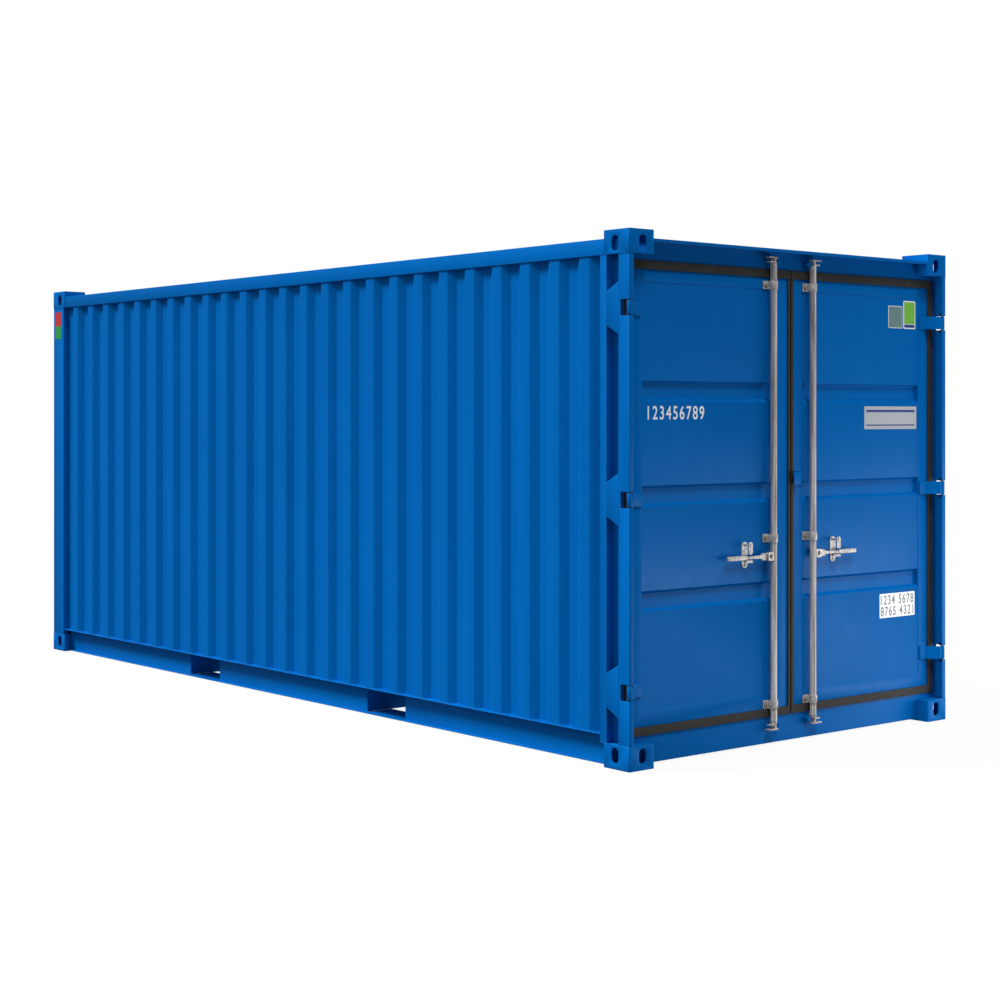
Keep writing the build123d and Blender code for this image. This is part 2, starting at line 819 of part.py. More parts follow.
def handle_hub(side):
    """The bracket on the bar: a block with a slot, and the pivot bolt through it."""
    y = side * bar_offset
    pivot_y = y + side * handle_pivot_offset
    half = hub_height / 2
    x0 = handle_x - hub_slot / 2 - hub_plate
    x1 = handle_x + hub_slot / 2 + hub_plate
    hub = block(x0, x1, y, pivot_y + side * hub_reach / 2, handle_height - half, handle_height + half)
    slot_start = y + side * (bar_radius + hub_slot_end)
    hub -= block(x0 + hub_plate, x1 - hub_plate, slot_start, pivot_y + side * hub_reach,
                 handle_height - half, handle_height + half)
    hub -= Pos(bar_x, y, handle_height) * Cylinder(bar_radius, hub_height)
    bolt = Cylinder(handle_pivot_radius, x1 - x0)
    hub += Pos(handle_x, pivot_y, handle_height) * Rot(0, 90, 0) * bolt
    return hub + Pos(x1, pivot_y, handle_height) * Rot(0, 90, 0) * bolt_head()


def handle(side):
    """The handle: an eye plate on the pivot, a slim neck and a thick grip."""
    pivot_y = side * (bar_offset + handle_pivot_offset)
    radius = handle_plate_height / 2
    half = handle_plate_thickness / 2
    eye = Pos(handle_x, pivot_y, handle_height) * Rot(0, 90, 0) * Cylinder(radius, handle_plate_thickness)
    z0 = handle_height - radius
    z1 = handle_height + radius
    end_y = pivot_y + side * handle_plate_length
    bar = eye + block(handle_x - half, handle_x + half, pivot_y, end_y, z0, z1)
    neck_y = end_y + side * handle_neck_length
    neck = loft([cross_section(end_y, side, handle_plate_thickness, handle_plate_height),
                 cross_section(neck_y, side, handle_neck_thickness, handle_neck_height)], ruled=True)
    grip_y = pivot_y + side * handle_grip_start
    shank = loft([cross_section(neck_y, side, handle_neck_thickness, handle_neck_height),
                  cross_section(grip_y, side, handle_grip_thickness, handle_grip_height)], ruled=True)
    grip = extrude(cross_section(grip_y, side, handle_grip_thickness, handle_grip_height),
                   handle_grip_length, dir=(0, side, 0))
    bar = bar + neck + shank + grip
    bore = Cylinder(handle_pivot_radius + handle_pivot_clearance, handle_plate_thickness)
    return bar - Pos(handle_x, pivot_y, handle_height) * Rot(0, 90, 0) * bore


def cross_section(y, side, thickness, tall):
    """A rectangle with broken corners across the handle at one station."""
    plane = Plane((handle_x, y, handle_height), x_dir=(1, 0, 0), z_dir=(0, side, 0))
    outline = Rectangle(thickness, tall)
    return plane * chamfer(outline.vertices(), handle_corner)


def handle_retainer(side):
    """The plate behind the handle: rounded foot, shelf under the handle and the catch's rivet."""
    y = side * retainer_offset
    half = retainer_width / 2
    round_z = retainer_bottom + half
    x1 = panel_front + retainer_plate
    plate = block(panel_front, x1, y - half, y + half, round_z, retainer_top)
    plate += rod_x(panel_front, x1, y, round_z, half)
    shelf_top = handle_height - handle_plate_height / 2 - retainer_shelf_gap
    shelf_bottom = shelf_top - retainer_shelf_thickness
    shelf_x = leaf_front + retainer_shelf_reach
    plate += block(panel_front, shelf_x, y - half, y + half, shelf_bottom, shelf_top)
    plate += block(shelf_x - retainer_shelf_thickness, shelf_x, y - half, y + half,
                   retainer_bottom + retainer_lip_gap, shelf_top)
    head_x = catch_x + catch_thickness + catch_washer
    plate += rod_x(panel_front, head_x, y, catch_pivot_height, catch_pivot_radius)
    plate += rod_x(head_x, head_x + catch_head, y, catch_pivot_height, catch_pivot_radius + catch_head)
    collar_x = catch_x - catch_washer
    return plate + rod_x(panel_front, collar_x, y, catch_pivot_height, catch_pivot_radius + catch_head)


def handle_catch(side):
    """The small plate that hangs from the rivet in front of the handle's upper edge."""
    y = side * retainer_offset
    half = catch_width / 2
    bottom = handle_height + handle_plate_height / 2 + catch_clearance
    plate = block(catch_x, catch_x + catch_thickness, y - half, y + half, bottom, catch_pivot_height)
    front = catch_x + catch_thickness
    crown = rod_x(catch_x, front, y, catch_pivot_height, half)
    crown -= block(catch_x, front, y - half, y + half, catch_pivot_height + catch_crown, height)
    bore = rod_x(catch_x, front, y, catch_pivot_height, catch_pivot_radius + catch_pivot_clearance)
    return plate + crown - bore


def centre_tab():
    """A bent plate on the right leaf, stepped forward where it covers the joint of the leaves."""
    half = tab_size / 2
    slope = tab_tip_gap + tab_reach_width
    bend = slope + tab_slope_width
    path = [(leaf_front, bend + tab_foot_width), (leaf_front, bend),
            (leaf_front + tab_rise, slope), (leaf_front + tab_rise, tab_tip_gap)]
    return prism_z(sheet_outline(path, tab_thickness), tab_height - half, tab_height + half)


def build_container():
    """Everything that stands still."""
    corner_fittings()
    save("top_side_rails", *both_sides(top_side_rail()))
    save("bottom_side_rails", *both_sides(bottom_side_rail()))
    save("fork_opening_straps", *[one for strap in pocket_straps() for one in both_sides(strap)])
    wall = side_wall()
    save("side_wall_left", on_side(wall, left))
    save("side_wall_right", on_side(wall, right))
    save("rear_wall", rear_wall())
    save("roof", *roof())
    save("rear_posts", *both_sides(rear_post()))
    save("rear_bottom_rail", rear_bottom_rail())
    save("rear_top_rail", rear_top_rail())
    post = door_post()
    save("door_post_left", on_side(post, left))
    save("door_post_right", on_side(post, right))
    save("doorway_reveals", *both_sides(reveal_plate_piece()))
    save("hinge_gussets", *[one for plate in hinge_gussets() for one in both_sides(plate)])
    save("hinge_pins", *[one for pin in hinge_pins() for one in both_sides(pin)])
    save("door_header", door_header())
    save("door_sill", door_sill())
    save("floor_boards", *floor_boards())
    save("cross_members", *cross_members())
    save("fork_pocket_sides", *fork_pocket_sides())
    save("fork_pocket_roofs", *fork_pocket_roofs())
    save("bar_keepers", *[keeper(side, end) for side in (left, right) for end in (left, right)])


def build_door(side, word):
    """One leaf and all that it carries."""
    save(f"door_leaf_{word}", on_side(door_leaf(), side))
    save(f"door_seal_{word}", on_side(door_seal(), side))
    save(f"hinge_blades_{word}", *[on_side(hinge_blade(middle), side) for middle in hinge_heights])
    save(f"bar_guides_{word}", *[bar_guide(side, middle) for middle in guide_heights])
    save(f"handle_retainer_{word}", handle_retainer(side))
    save(f"handle_catch_{word}", handle_catch(side))
    save(f"locking_bar_{word}", bar_tube(side))
    save(f"bar_cams_{word}", bar_cam(side, left), bar_cam(side, right))
    save(f"handle_hub_{word}", handle_hub(side))
    save(f"bar_handle_{word}", handle(side))


os.makedirs("parts", exist_ok=True)
build_container()
build_door(left, "left")
build_door(right, "right")
save("centre_tab", centre_tab())
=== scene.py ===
import bmesh
import bpy
import json
import math
import numpy as np
from mathutils import Matrix, Vector

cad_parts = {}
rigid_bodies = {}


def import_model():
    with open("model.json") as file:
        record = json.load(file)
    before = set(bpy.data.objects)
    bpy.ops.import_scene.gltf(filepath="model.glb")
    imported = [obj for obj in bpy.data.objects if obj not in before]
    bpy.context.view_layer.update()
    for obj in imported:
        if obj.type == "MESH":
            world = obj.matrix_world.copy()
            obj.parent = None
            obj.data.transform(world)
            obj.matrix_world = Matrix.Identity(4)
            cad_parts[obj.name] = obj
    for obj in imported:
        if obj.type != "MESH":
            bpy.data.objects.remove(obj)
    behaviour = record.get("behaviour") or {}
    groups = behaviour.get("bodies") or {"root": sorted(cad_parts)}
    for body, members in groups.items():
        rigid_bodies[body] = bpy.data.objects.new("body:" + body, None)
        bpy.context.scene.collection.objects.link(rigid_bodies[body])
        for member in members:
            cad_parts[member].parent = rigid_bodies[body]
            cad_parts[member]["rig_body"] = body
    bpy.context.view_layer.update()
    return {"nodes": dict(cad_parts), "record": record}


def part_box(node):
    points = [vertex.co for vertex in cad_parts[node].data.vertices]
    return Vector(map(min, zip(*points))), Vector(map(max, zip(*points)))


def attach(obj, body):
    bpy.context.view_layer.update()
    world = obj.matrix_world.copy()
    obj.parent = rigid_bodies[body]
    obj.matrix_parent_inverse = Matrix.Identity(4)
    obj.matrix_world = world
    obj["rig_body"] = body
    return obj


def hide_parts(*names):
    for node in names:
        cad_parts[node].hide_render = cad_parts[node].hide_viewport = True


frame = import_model()
sides = {"left": -1, "right": 1}  # the sign of Y of the pieces with this word in their name


# Small helpers

def toLinear(hexText):
    # sRGB hex text to linear colour: the standard curve, channel by channel
    values = [int(hexText[i:i + 2], 16) / 255 for i in (1, 3, 5)]
    return [v / 12.92 if v <= 0.04045 else ((v + 0.055) / 1.055) ** 2.4 for v in values] + [1.0]


def addNode(tree, kind, settings=None, links=None):
    # one node: settings fill its sockets or, where no socket has the name, its properties; hex text becomes
    # linear colour, and a link from a whole node takes its first output
    node = tree.nodes.new("ShaderNode" + kind)
    for key, value in (settings or {}).items():
        if isinstance(value, str) and value.startswith("#"):
            value = toLinear(value)
        if isinstance(key, int) or key in node.inputs:
            node.inputs[key].default_value = value
        else:
            setattr(node, key, value)
    for key, source in (links or {}).items():
        socket = source.outputs[0] if isinstance(source, bpy.types.Node) else source
        tree.links.new(socket, node.inputs[key])
    return node


def newMaterial(name):
    # an empty material, its tree, and the object coordinates in metres
    material = bpy.data.materials.new(name)
    material.use_nodes = True
    tree = material.node_tree
    tree.nodes.clear()
    return material, tree, addNode(tree, "TexCoord").outputs["Object"]


def edgeMask(tree, radius):
    # 0 on flat faces, 1 where the surface bends within radius: the dot of the rounded and the true normal
    rounded = addNode(tree, "Bevel", {"samples": 4, "Radius": radius})
    true = addNode(tree, "NewGeometry").outputs["Normal"]
    dot = addNode(tree, "VectorMath", {"operation": "DOT_PRODUCT"}, {0: rounded, 1: true}).outputs["Value"]
    return addNode(tree, "MapRange", {1: 0.995, 2: 0.86}, {0: dot})


# Materials: a noise's scale is in cycles per metre; sockets 1 to 4 of a map range are its two ranges, and
# sockets 6 and 7 of a mix its two colours

def sprayedSteelEnamel(name, plain, thin, wornAndHighlit):
    # alkyd enamel sprayed on blasted steel: even satin coat, faint orange peel, thin and worn on the edges,
    # where the lighter colour is partly wear and partly a painted highlight
    paint = {"cloud": 0.8, "streak": 7, "patch": 30, "smear": 12, "orangePeel": 140, "peelDepth": 0.0003,
             "edge": 0.003, "smoothest": 0.35, "roughest": 0.47}
    # real orange peel is 2 to 3 mm across, drawn at 7 mm so that it shows
    material, tree, where = newMaterial(name)
    upright = addNode(tree, "Mapping", {"Scale": (1, 1, 0.12)}, {"Vector": where})
    cloud = addNode(tree, "TexNoise", {"Scale": paint["cloud"], "Detail": 3}, {"Vector": where})
    streak = addNode(tree, "TexNoise", {"Scale": paint["streak"], "Detail": 4, "Roughness": 0.6},
                     {"Vector": upright})
    both = addNode(tree, "Math", {"operation": "ADD"}, {0: cloud, 1: streak})
    tone = addNode(tree, "MapRange", {1: 0.7, 2: 1.3, 4: 0.5}, {0: both})
    colour = addNode(tree, "Mix", {"data_type": "RGBA", 6: plain, 7: thin}, {0: tone}).outputs[2]
    patch = addNode(tree, "TexNoise", {"Scale": paint["patch"], "Detail": 4}, {"Vector": where})
    patch = addNode(tree, "MapRange", {1: 0.4, 2: 0.75, 3: 0.12, 4: 0.45}, {0: patch})
    # painted highlight and wear: every edge is mixed at least 12 per cent towards the lighter edge colour,
    # more in patches
    wearAndHighlight = addNode(tree, "Math", {"operation": "MULTIPLY"}, {0: edgeMask(tree, paint["edge"]), 1: patch})
    colour = addNode(tree, "Mix", {"data_type": "RGBA", 7: wornAndHighlit}, {0: wearAndHighlight, 6: colour}).outputs[2]
    smear = addNode(tree, "TexNoise", {"Scale": paint["smear"], "Detail": 5, "Roughness": 0.65},
                    {"Vector": where})
    rough = addNode(tree, "MapRange", {1: 0.3, 2: 0.7, 3: paint["smoothest"], 4: paint["roughest"]},
                    {0: smear})
    peel = addNode(tree, "TexNoise", {"Scale": paint["orangePeel"], "Detail": 1}, {"Vector": where})
    bump = addNode(tree, "Bump", {"Strength": 0.35, "Distance": paint["peelDepth"]}, {"Height": peel})
    gloss = {"IOR": 1.5, "Specular IOR Level": 0.05, "Specular Tint": (0.3, 0.6, 1, 1)}
    shader = addNode(tree, "BsdfPrincipled", gloss,
                     {"Base Color": colour, "Roughness": rough, "Normal": bump})
    addNode(tree, "OutputMaterial", links={"Surface": shader})
    return material


def hotDipGalvanisedSteel():
    # zinc bath coat: grey crystals 8 mm across, dull, with darker drips 8 mm wide and 40 cm long on the bar
    material, tree, where = newMaterial("hotDipGalvanisedSteel")
    tall = addNode(tree, "Mapping", {"Scale": (1, 1, 0.35)}, {"Vector": where})
    crystal = addNode(tree, "TexVoronoi", {"Scale": 125}, {"Vector": tall}).outputs["Color"]
    share = addNode(tree, "SeparateColor", links={0: crystal})
    colour = addNode(tree, "Mix", {"data_type": "RGBA", 6: "#cfcac8", 7: "#dad5d3"}, {0: share}).outputs[2]
    running = addNode(tree, "Mapping", {"Scale": (1, 1, 0.02)}, {"Vector": where})
    drip = addNode(tree, "TexNoise", {"Scale": 130, "Detail": 3, "Roughness": 0.6}, {"Vector": running})
    drip = addNode(tree, "MapRange", {1: 0.44, 2: 0.56, 4: 0.9}, {0: drip})
    colour = addNode(tree, "Mix", {"data_type": "RGBA", 7: "#958e8b"}, {0: drip, 6: colour}).outputs[2]
    rough = addNode(tree, "MapRange", {3: 0.38, 4: 0.6}, {0: share})
    grain = addNode(tree, "TexNoise", {"Scale": 160, "Detail": 3}, {"Vector": where})
    bump = addNode(tree, "Bump", {"Strength": 0.4, "Distance": 0.0004}, {"Height": grain})
    shader = addNode(tree, "BsdfPrincipled", {"Metallic": 0.15},
                     {"Base Color": colour, "Roughness": rough, "Normal": bump})
    addNode(tree, "OutputMaterial", links={"Surface": shader})
    return material


def zincPlatedForging():
    # forged steel with bright zinc: light, smoother than the bars, darker in low spots 14 mm apart, and
    # lighter on its edges as a painted highlight; the blasted grain is drawn 4.5 mm wide so that it shows
    material, tree, where = newMaterial("zincPlatedForging")
    spots = addNode(tree, "TexNoise", {"Scale": 70, "Detail": 5, "Roughness": 0.6}, {"Vector": where})
    share = addNode(tree, "MapRange", {1: 0.42, 2: 0.68}, {0: spots})
    colour = addNode(tree, "Mix", {"data_type": "RGBA", 6: "#d0cdcb", 7: "#98938f"}, {0: share}).outputs[2]
    # painted highlight: the edges are mixed up to halfway towards a light grey
    paintedEdgeHighlight = addNode(tree, "Math", {"operation": "MULTIPLY", 1: 0.5}, {0: edgeMask(tree, 0.002)})
    colour = addNode(tree, "Mix", {"data_type": "RGBA", 7: "#e6e4e2"}, {0: paintedEdgeHighlight, 6: colour}).outputs[2]
    rough = addNode(tree, "MapRange", {1: 0.3, 2: 0.7, 3: 0.34, 4: 0.5}, {0: spots})
    grain = addNode(tree, "TexNoise", {"Scale": 220, "Detail": 3}, {"Vector": where})
    bump = addNode(tree, "Bump", {"Strength": 0.3, "Distance": 0.0003}, {"Height": grain})
    shader = addNode(tree, "BsdfPrincipled", {"Metallic": 0.15, "Specular IOR Level": 0.25},
                     {"Base Color": colour, "Roughness": rough, "Normal": bump})
    addNode(tree, "OutputMaterial", links={"Surface": shader})
    return material


def yellowZincBolt():
    # small bolts with yellow chromate over zinc: brownish gold, in uneven patches 6 mm wide
    material, tree, where = newMaterial("yellowZincBolt")
    film = addNode(tree, "TexNoise", {"Scale": 160, "Detail": 3}, {"Vector": where})
    film = addNode(tree, "MapRange", {1: 0.35, 2: 0.65}, {0: film})
    colour = addNode(tree, "Mix", {"data_type": "RGBA", 6: "#9a7a63", 7: "#6d6460"}, {0: film}).outputs[2]
    rough = addNode(tree, "MapRange", {3: 0.32, 4: 0.5}, {0: film})
    grain = addNode(tree, "TexNoise", {"Scale": 400, "Detail": 2}, {"Vector": where})
    bump = addNode(tree, "Bump", {"Strength": 0.25, "Distance": 0.0002}, {"Height": grain})
    shader = addNode(tree, "BsdfPrincipled", {"Metallic": 0.5},
                     {"Base Color": colour, "Roughness": rough, "Normal": bump})
    addNode(tree, "OutputMaterial", links={"Surface": shader})
    return material


def greasedPinSteel():
    # turned pin, greased: dark, fairly smooth, brown film in patches 25 mm wide; the rings from the lathe are
    # drawn 2 mm apart so that they show
    material, tree, where = newMaterial("greasedPinSteel")
    film = addNode(tree, "TexNoise", {"Scale": 40, "Detail": 4}, {"Vector": where})
    film = addNode(tree, "MapRange", {1: 0.4, 2: 0.65}, {0: film})
    colour = addNode(tree, "Mix", {"data_type": "RGBA", 6: "#6b6764", 7: "#3c332c"}, {0: film}).outputs[2]
    rough = addNode(tree, "MapRange", {3: 0.3, 4: 0.5}, {0: film})
    rings = addNode(tree, "Mapping", {"Scale": (0.02, 0.02, 1)}, {"Vector": where})
    turning = addNode(tree, "TexNoise", {"Scale": 500, "Detail": 1}, {"Vector": rings})
    bump = addNode(tree, "Bump", {"Strength": 0.3, "Distance": 0.0002}, {"Height": turning})
    shader = addNode(tree, "BsdfPrincipled", {"Metallic": 1},
                     {"Base Color": colour, "Roughness": rough, "Normal": bump})
    addNode(tree, "OutputMaterial", links={"Surface": shader})
    return material


def extrudedSealRubber():
    # EPDM extrusion: brown black, matt, a little dusty; its fine grain is drawn 3 mm wide so that it shows
    material, tree, where = newMaterial("extrudedSealRubber")
    dust = addNode(tree, "TexNoise", {"Scale": 18, "Detail": 5, "Roughness": 0.65}, {"Vector": where})
    dust = addNode(tree, "MapRange", {1: 0.45, 2: 0.75, 4: 0.5}, {0: dust})
    colour = addNode(tree, "Mix", {"data_type": "RGBA", 6: "#373534", 7: "#4b4846"}, {0: dust}).outputs[2]
    rough = addNode(tree, "MapRange", {2: 0.5, 3: 0.55, 4: 0.75}, {0: dust})
    grain = addNode(tree, "TexNoise", {"Scale": 350, "Detail": 2}, {"Vector": where})
    bump = addNode(tree, "Bump", {"Strength": 0.3, "Distance": 0.0004}, {"Height": grain})
    shader = addNode(tree, "BsdfPrincipled", {"IOR": 1.5, "Specular IOR Level": 0.1},
                     {"Base Color": colour, "Roughness": rough, "Normal": bump})
    addNode(tree, "OutputMaterial", links={"Surface": shader})
    return material


def varnishedPlywood():
    # hardwood plywood floor: red brown veneer, grain 17 mm wide and 33 cm long, scuffed varnish
    material, tree, where = newMaterial("varnishedPlywood")
    lengthwise = addNode(tree, "Mapping", {"Scale": (0.05, 1, 1)}, {"Vector": where})
    grain = addNode(tree, "TexNoise", {"Scale": 60, "Detail": 6, "Roughness": 0.7}, {"Vector": lengthwise})
    share = addNode(tree, "MapRange", {1: 0.35, 2: 0.7}, {0: grain})
    colour = addNode(tree, "Mix", {"data_type": "RGBA", 6: "#8a5a38", 7: "#5b3721"}, {0: share}).outputs[2]
    broad = addNode(tree, "Mapping", {"Scale": (0.4, 1, 1)}, {"Vector": where})
    flame = addNode(tree, "TexNoise", {"Scale": 3, "Detail": 3, "Roughness": 0.6}, {"Vector": broad})
    flame = addNode(tree, "MapRange", {1: 0.4, 2: 0.65, 4: 0.5}, {0: flame})
    colour = addNode(tree, "Mix", {"data_type": "RGBA", 7: "#9c6a45"}, {0: flame, 6: colour}).outputs[2]
    scuff = addNode(tree, "TexNoise", {"Scale": 5, "Detail": 5, "Roughness": 0.7}, {"Vector": where})
    rough = addNode(tree, "MapRange", {1: 0.35, 2: 0.7, 3: 0.35, 4: 0.7}, {0: scuff})
    bump = addNode(tree, "Bump", {"Strength": 0.5, "Distance": 0.0006}, {"Height": grain})
    shader = addNode(tree, "BsdfPrincipled", {"IOR": 1.5},
                     {"Base Color": colour, "Roughness": rough, "Normal": bump})
    addNode(tree, "OutputMaterial", links={"Surface": shader})
    return material


def printedVinyl(name, ink):
    # self-adhesive vinyl: even print, slight gloss, faint unevenness of the sheet below
    material, tree, where = newMaterial(name)
    tone = addNode(tree, "TexNoise", {"Scale": 25, "Detail": 4}, {"Vector": where})
    tone = addNode(tree, "MapRange", {1: 0.3, 2: 0.7, 4: 0.07}, {0: tone})
    colour = addNode(tree, "Mix", {"data_type": "RGBA", 6: ink, 7: "#6f7274"}, {0: tone}).outputs[2]
    sheet = addNode(tree, "TexNoise", {"Scale": 60, "Detail": 2}, {"Vector": where})
    bump = addNode(tree, "Bump", {"Strength": 0.2, "Distance": 0.0004}, {"Height": sheet})
    shader = addNode(tree, "BsdfPrincipled", {"IOR": 1.46, "Roughness": 0.35},
                     {"Base Color": colour, "Normal": bump})
    addNode(tree, "OutputMaterial", links={"Surface": shader})
    return material


def studioFloor():
    # pale matt studio floor that thins out into the white background
    material, tree, where = newMaterial("studioFloor")
    tone = addNode(tree, "TexNoise", {"Scale": 4, "Detail": 4}, {"Vector": where})
    tone = addNode(tree, "MapRange", {1: 0.3, 2: 0.7}, {0: tone})
    colour = addNode(tree, "Mix", {"data_type": "RGBA", 6: "#f1f1f0", 7: "#f5f5f4"}, {0: tone}).outputs[2]
    shader = addNode(tree, "BsdfPrincipled", {"Roughness": 0.9, "Specular IOR Level": 0.1},
                     {"Base Color": colour})
    clear = addNode(tree, "BsdfTransparent")
    away = addNode(tree, "VectorMath", {"operation": "LENGTH"}, {0: where}).outputs["Value"]
    share = addNode(tree, "MapRange", {1: 3.5, 2: 7.5, 3: 0.93}, {0: away})
    mixed = addNode(tree, "MixShader", links={0: share, 1: shader, 2: clear})
    addNode(tree, "OutputMaterial", links={"Surface": mixed})
    return material


bluePaint = sprayedSteelEnamel("sprayedSteelEnamel", "#0062b0", "#006abc", "#3f8fd6")
basePaint = sprayedSteelEnamel("sprayedBaseEnamel", "#005298", "#00599f", "#3a7fc0")
galvanised = hotDipGalvanisedSteel()
zincPlated = zincPlatedForging()
yellowZinc = yellowZincBolt()
pinSteel = greasedPinSteel()
sealRubber = extrudedSealRubber()
plywood = varnishedPlywood()
slotMaterials = {"blue_paint": bluePaint, "base_paint": basePaint, "galvanised_steel": galvanised,
                 "zinc_plated_steel": zincPlated, "hinge_steel": pinSteel, "seal_rubber": sealRubber,
                 "plywood": plywood}
slotOf = {part["node"]: part["material_slot"] for part in frame["record"]["subparts"]}
bodyOf = {name: node["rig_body"] for name, node in frame["nodes"].items()}
for name, node in frame["nodes"].items():
    node.data.materials.clear()
    node.data.materials.append(slotMaterials[slotOf[name]])
print("materials made")


# Making meshes from arrays

def meshPiece(name, parts, material, body, crease=40):
    # one object from several point and face arrays, at the origin and riding on its body; its faces are
    # turned outward, and edges that bend by more than crease degrees stay sharp: all at 0, and none at 180
    points, faces, start = [], [], 0
    for partPoints, partFaces in parts:
        points.append(np.asarray(partPoints))
        faces += [[i + start for i in face] for face in partFaces]
        start += len(partPoints)
    mesh = bpy.data.meshes.new(name)
    mesh.from_pydata(np.concatenate(points).tolist(), [], faces)
    mesh.polygons.foreach_set("use_smooth", np.full(len(mesh.polygons), crease > 0))
    mesh.materials.append(material)
    work = bmesh.new()
    work.from_mesh(mesh)
    bmesh.ops.delete(work, geom=[v for v in work.verts if not v.link_faces], context="VERTS")
    bmesh.ops.recalc_face_normals(work, faces=work.faces)
    for edge in work.edges:
        edge.smooth = edge.calc_face_angle(0.0) < math.radians(crease)
    work.to_mesh(mesh)
    work.free()
    piece = bpy.data.objects.new(name, mesh)
    bpy.context.scene.collection.objects.link(piece)
    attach(piece, body)
    return piece


def gridFaces(rows, columns, wrapRows=False, wrapColumns=False):
    # quads of a grid whose points are numbered row by row
    r = np.arange(rows if wrapRows else rows - 1)
    c = np.arange(columns if wrapColumns else columns - 1)
    r, c = [a.ravel() for a in np.meshgrid(r, c, indexing="ij")]
    nr, nc = (r + 1) % rows, (c + 1) % columns
    return np.stack([r * columns + c, r * columns + nc, nr * columns + nc, nr * columns + c], 1).tolist()


def tubeFaces(rings, around):
    # quads between rings of equal count, and a face over the first and the last
    last = (rings - 1) * around
    caps = [list(range(around))[::-1], list(range(last, last + around))]
    return gridFaces(rings, around, wrapColumns=True) + caps


def roundedPath(points, radius, steps=4):
    # each corner becomes the curve (1-t)^2 start + 2t(1-t) corner + t^2 end between its tangent points, which
    # lie radius / tan(half the corner's angle) from it, but no further than 0.45 of the shorter leg
    points = np.asarray(points, float)
    result = [points[:1]]
    for before, corner, after in zip(points[:-2], points[1:-1], points[2:]):
        legs = np.linalg.norm(before - corner), np.linalg.norm(after - corner)
        a, b = (before - corner) / legs[0], (after - corner) / legs[1]
        half = math.acos(np.clip(np.dot(a, b), -1, 1)) / 2
        reach = min(radius / math.tan(half), 0.45 * min(legs))
        t = np.linspace(0, 1, steps)[:, None]
        start, end = corner + a * reach, corner + b * reach
        result.append((1 - t) ** 2 * start + 2 * t * (1 - t) * corner + t ** 2 * end)
    return np.concatenate(result + [points[-1:]])


def beadAlong(path, up, out, radius):
    # a fillet of weld along a path: a quarter round between up and out, whose size swings with short ripples
    # and a long swell: radius * (1 + ripple sin(2 pi s / rippleLength) + swell sin(2 pi s / swellLength))
    bead = {"spacing": 0.006, "ripple": 0.12, "rippleLength": 0.012, "swell": 0.06, "swellLength": 0.31}
    path, up, out = [np.asarray(a, float) for a in (path, up, out)]
    steps = np.linalg.norm(np.diff(path, axis=0), axis=1)
    along = np.concatenate([[0], np.cumsum(steps)])
    s = np.arange(0, along[-1], bead["spacing"])
    centre, upHere, outHere = [np.stack([np.interp(s, along, a[:, i]) for i in range(3)], 1)
                               for a in np.broadcast_arrays(path, up, out)]
    size = radius * (1 + bead["ripple"] * np.sin(s * 2 * math.pi / bead["rippleLength"])
                     + bead["swell"] * np.sin(s * 2 * math.pi / bead["swellLength"]))
    ring = [centre + size[:, None] * (np.cos(a) * upHere + np.sin(a) * outHere)
            for a in np.linspace(0, math.pi / 2, 4)]
    points = np.stack(ring + [centre], 1)
    return points.reshape(-1, 3), tubeFaces(len(s), 5)


def groups(node, axis, gap=0.1):
    # boxes of a node's solids, where they lie apart along one axis by more than gap
    mesh = frame["nodes"][node].data
    points = np.empty(len(mesh.vertices) * 3)
    mesh.vertices.foreach_get("co", points)
    points = points.reshape(-1, 3)
    points = points[np.argsort(points[:, axis])]
    cuts = np.flatnonzero(np.diff(points[:, axis]) > gap) + 1
    return [(part.min(0), part.max(0)) for part in np.split(points, cuts)]


def turned(profile, start, direction, around=32):
    # a turned part: each (along, radius) of the profile carried round the axis that leaves start in direction
    axis = np.asarray(direction, float)
    side = np.cross(axis, (0, 0, 1) if abs(axis[2]) < 0.9 else (1, 0, 0))
    angle = np.arange(around)[:, None] * 2 * math.pi / around
    ring = np.cos(angle) * side + np.sin(angle) * np.cross(axis, side)
    along, radius = np.asarray(profile, float).T
    points = np.asarray(start, float) + along[:, None, None] * axis + radius[:, None, None] * ring
    return points.reshape(-1, 3), tubeFaces(len(profile), around)


def frameSeam(x, acrossEnds, heights, radius):
    # a bead round a rectangle of Y and Z that stands out of the plane X = x
    (y0, y1), (z0, z1) = acrossEnds, heights
    corners = np.array([(x, y0, z0), (x, y1, z0), (x, y1, z1), (x, y0, z1)])
    beads = []
    for index in range(4):
        ends = corners[[index, (index + 1) % 4]]
        away = ends.mean(0) - corners.mean(0)
        beads.append(beadAlong(ends, (1, 0, 0), away / np.linalg.norm(away), radius))
    return beads


def roundedPlate(low, high, x, thickness, radius):
    # a plate of Y and Z with rounded corners that stands on X = x
    (y0, z0), (y1, z1) = low, high
    angle = np.linspace(0, math.pi / 2, 6)
    corners = [((y1 - radius, z0 + radius), -math.pi / 2), ((y1 - radius, z1 - radius), 0),
               ((y0 + radius, z1 - radius), math.pi / 2), ((y0 + radius, z0 + radius), math.pi)]
    loop = np.concatenate([np.stack([y + radius * np.cos(angle + turn), z + radius * np.sin(angle + turn)], 1)
                           for (y, z), turn in corners])
    levels = np.repeat([x, x + thickness], len(loop))
    return np.column_stack([levels, np.tile(loop, (2, 1))]), tubeFaces(2, len(loop))


# CAD pieces with their edges rounded as pressed, cast or ground steel has them

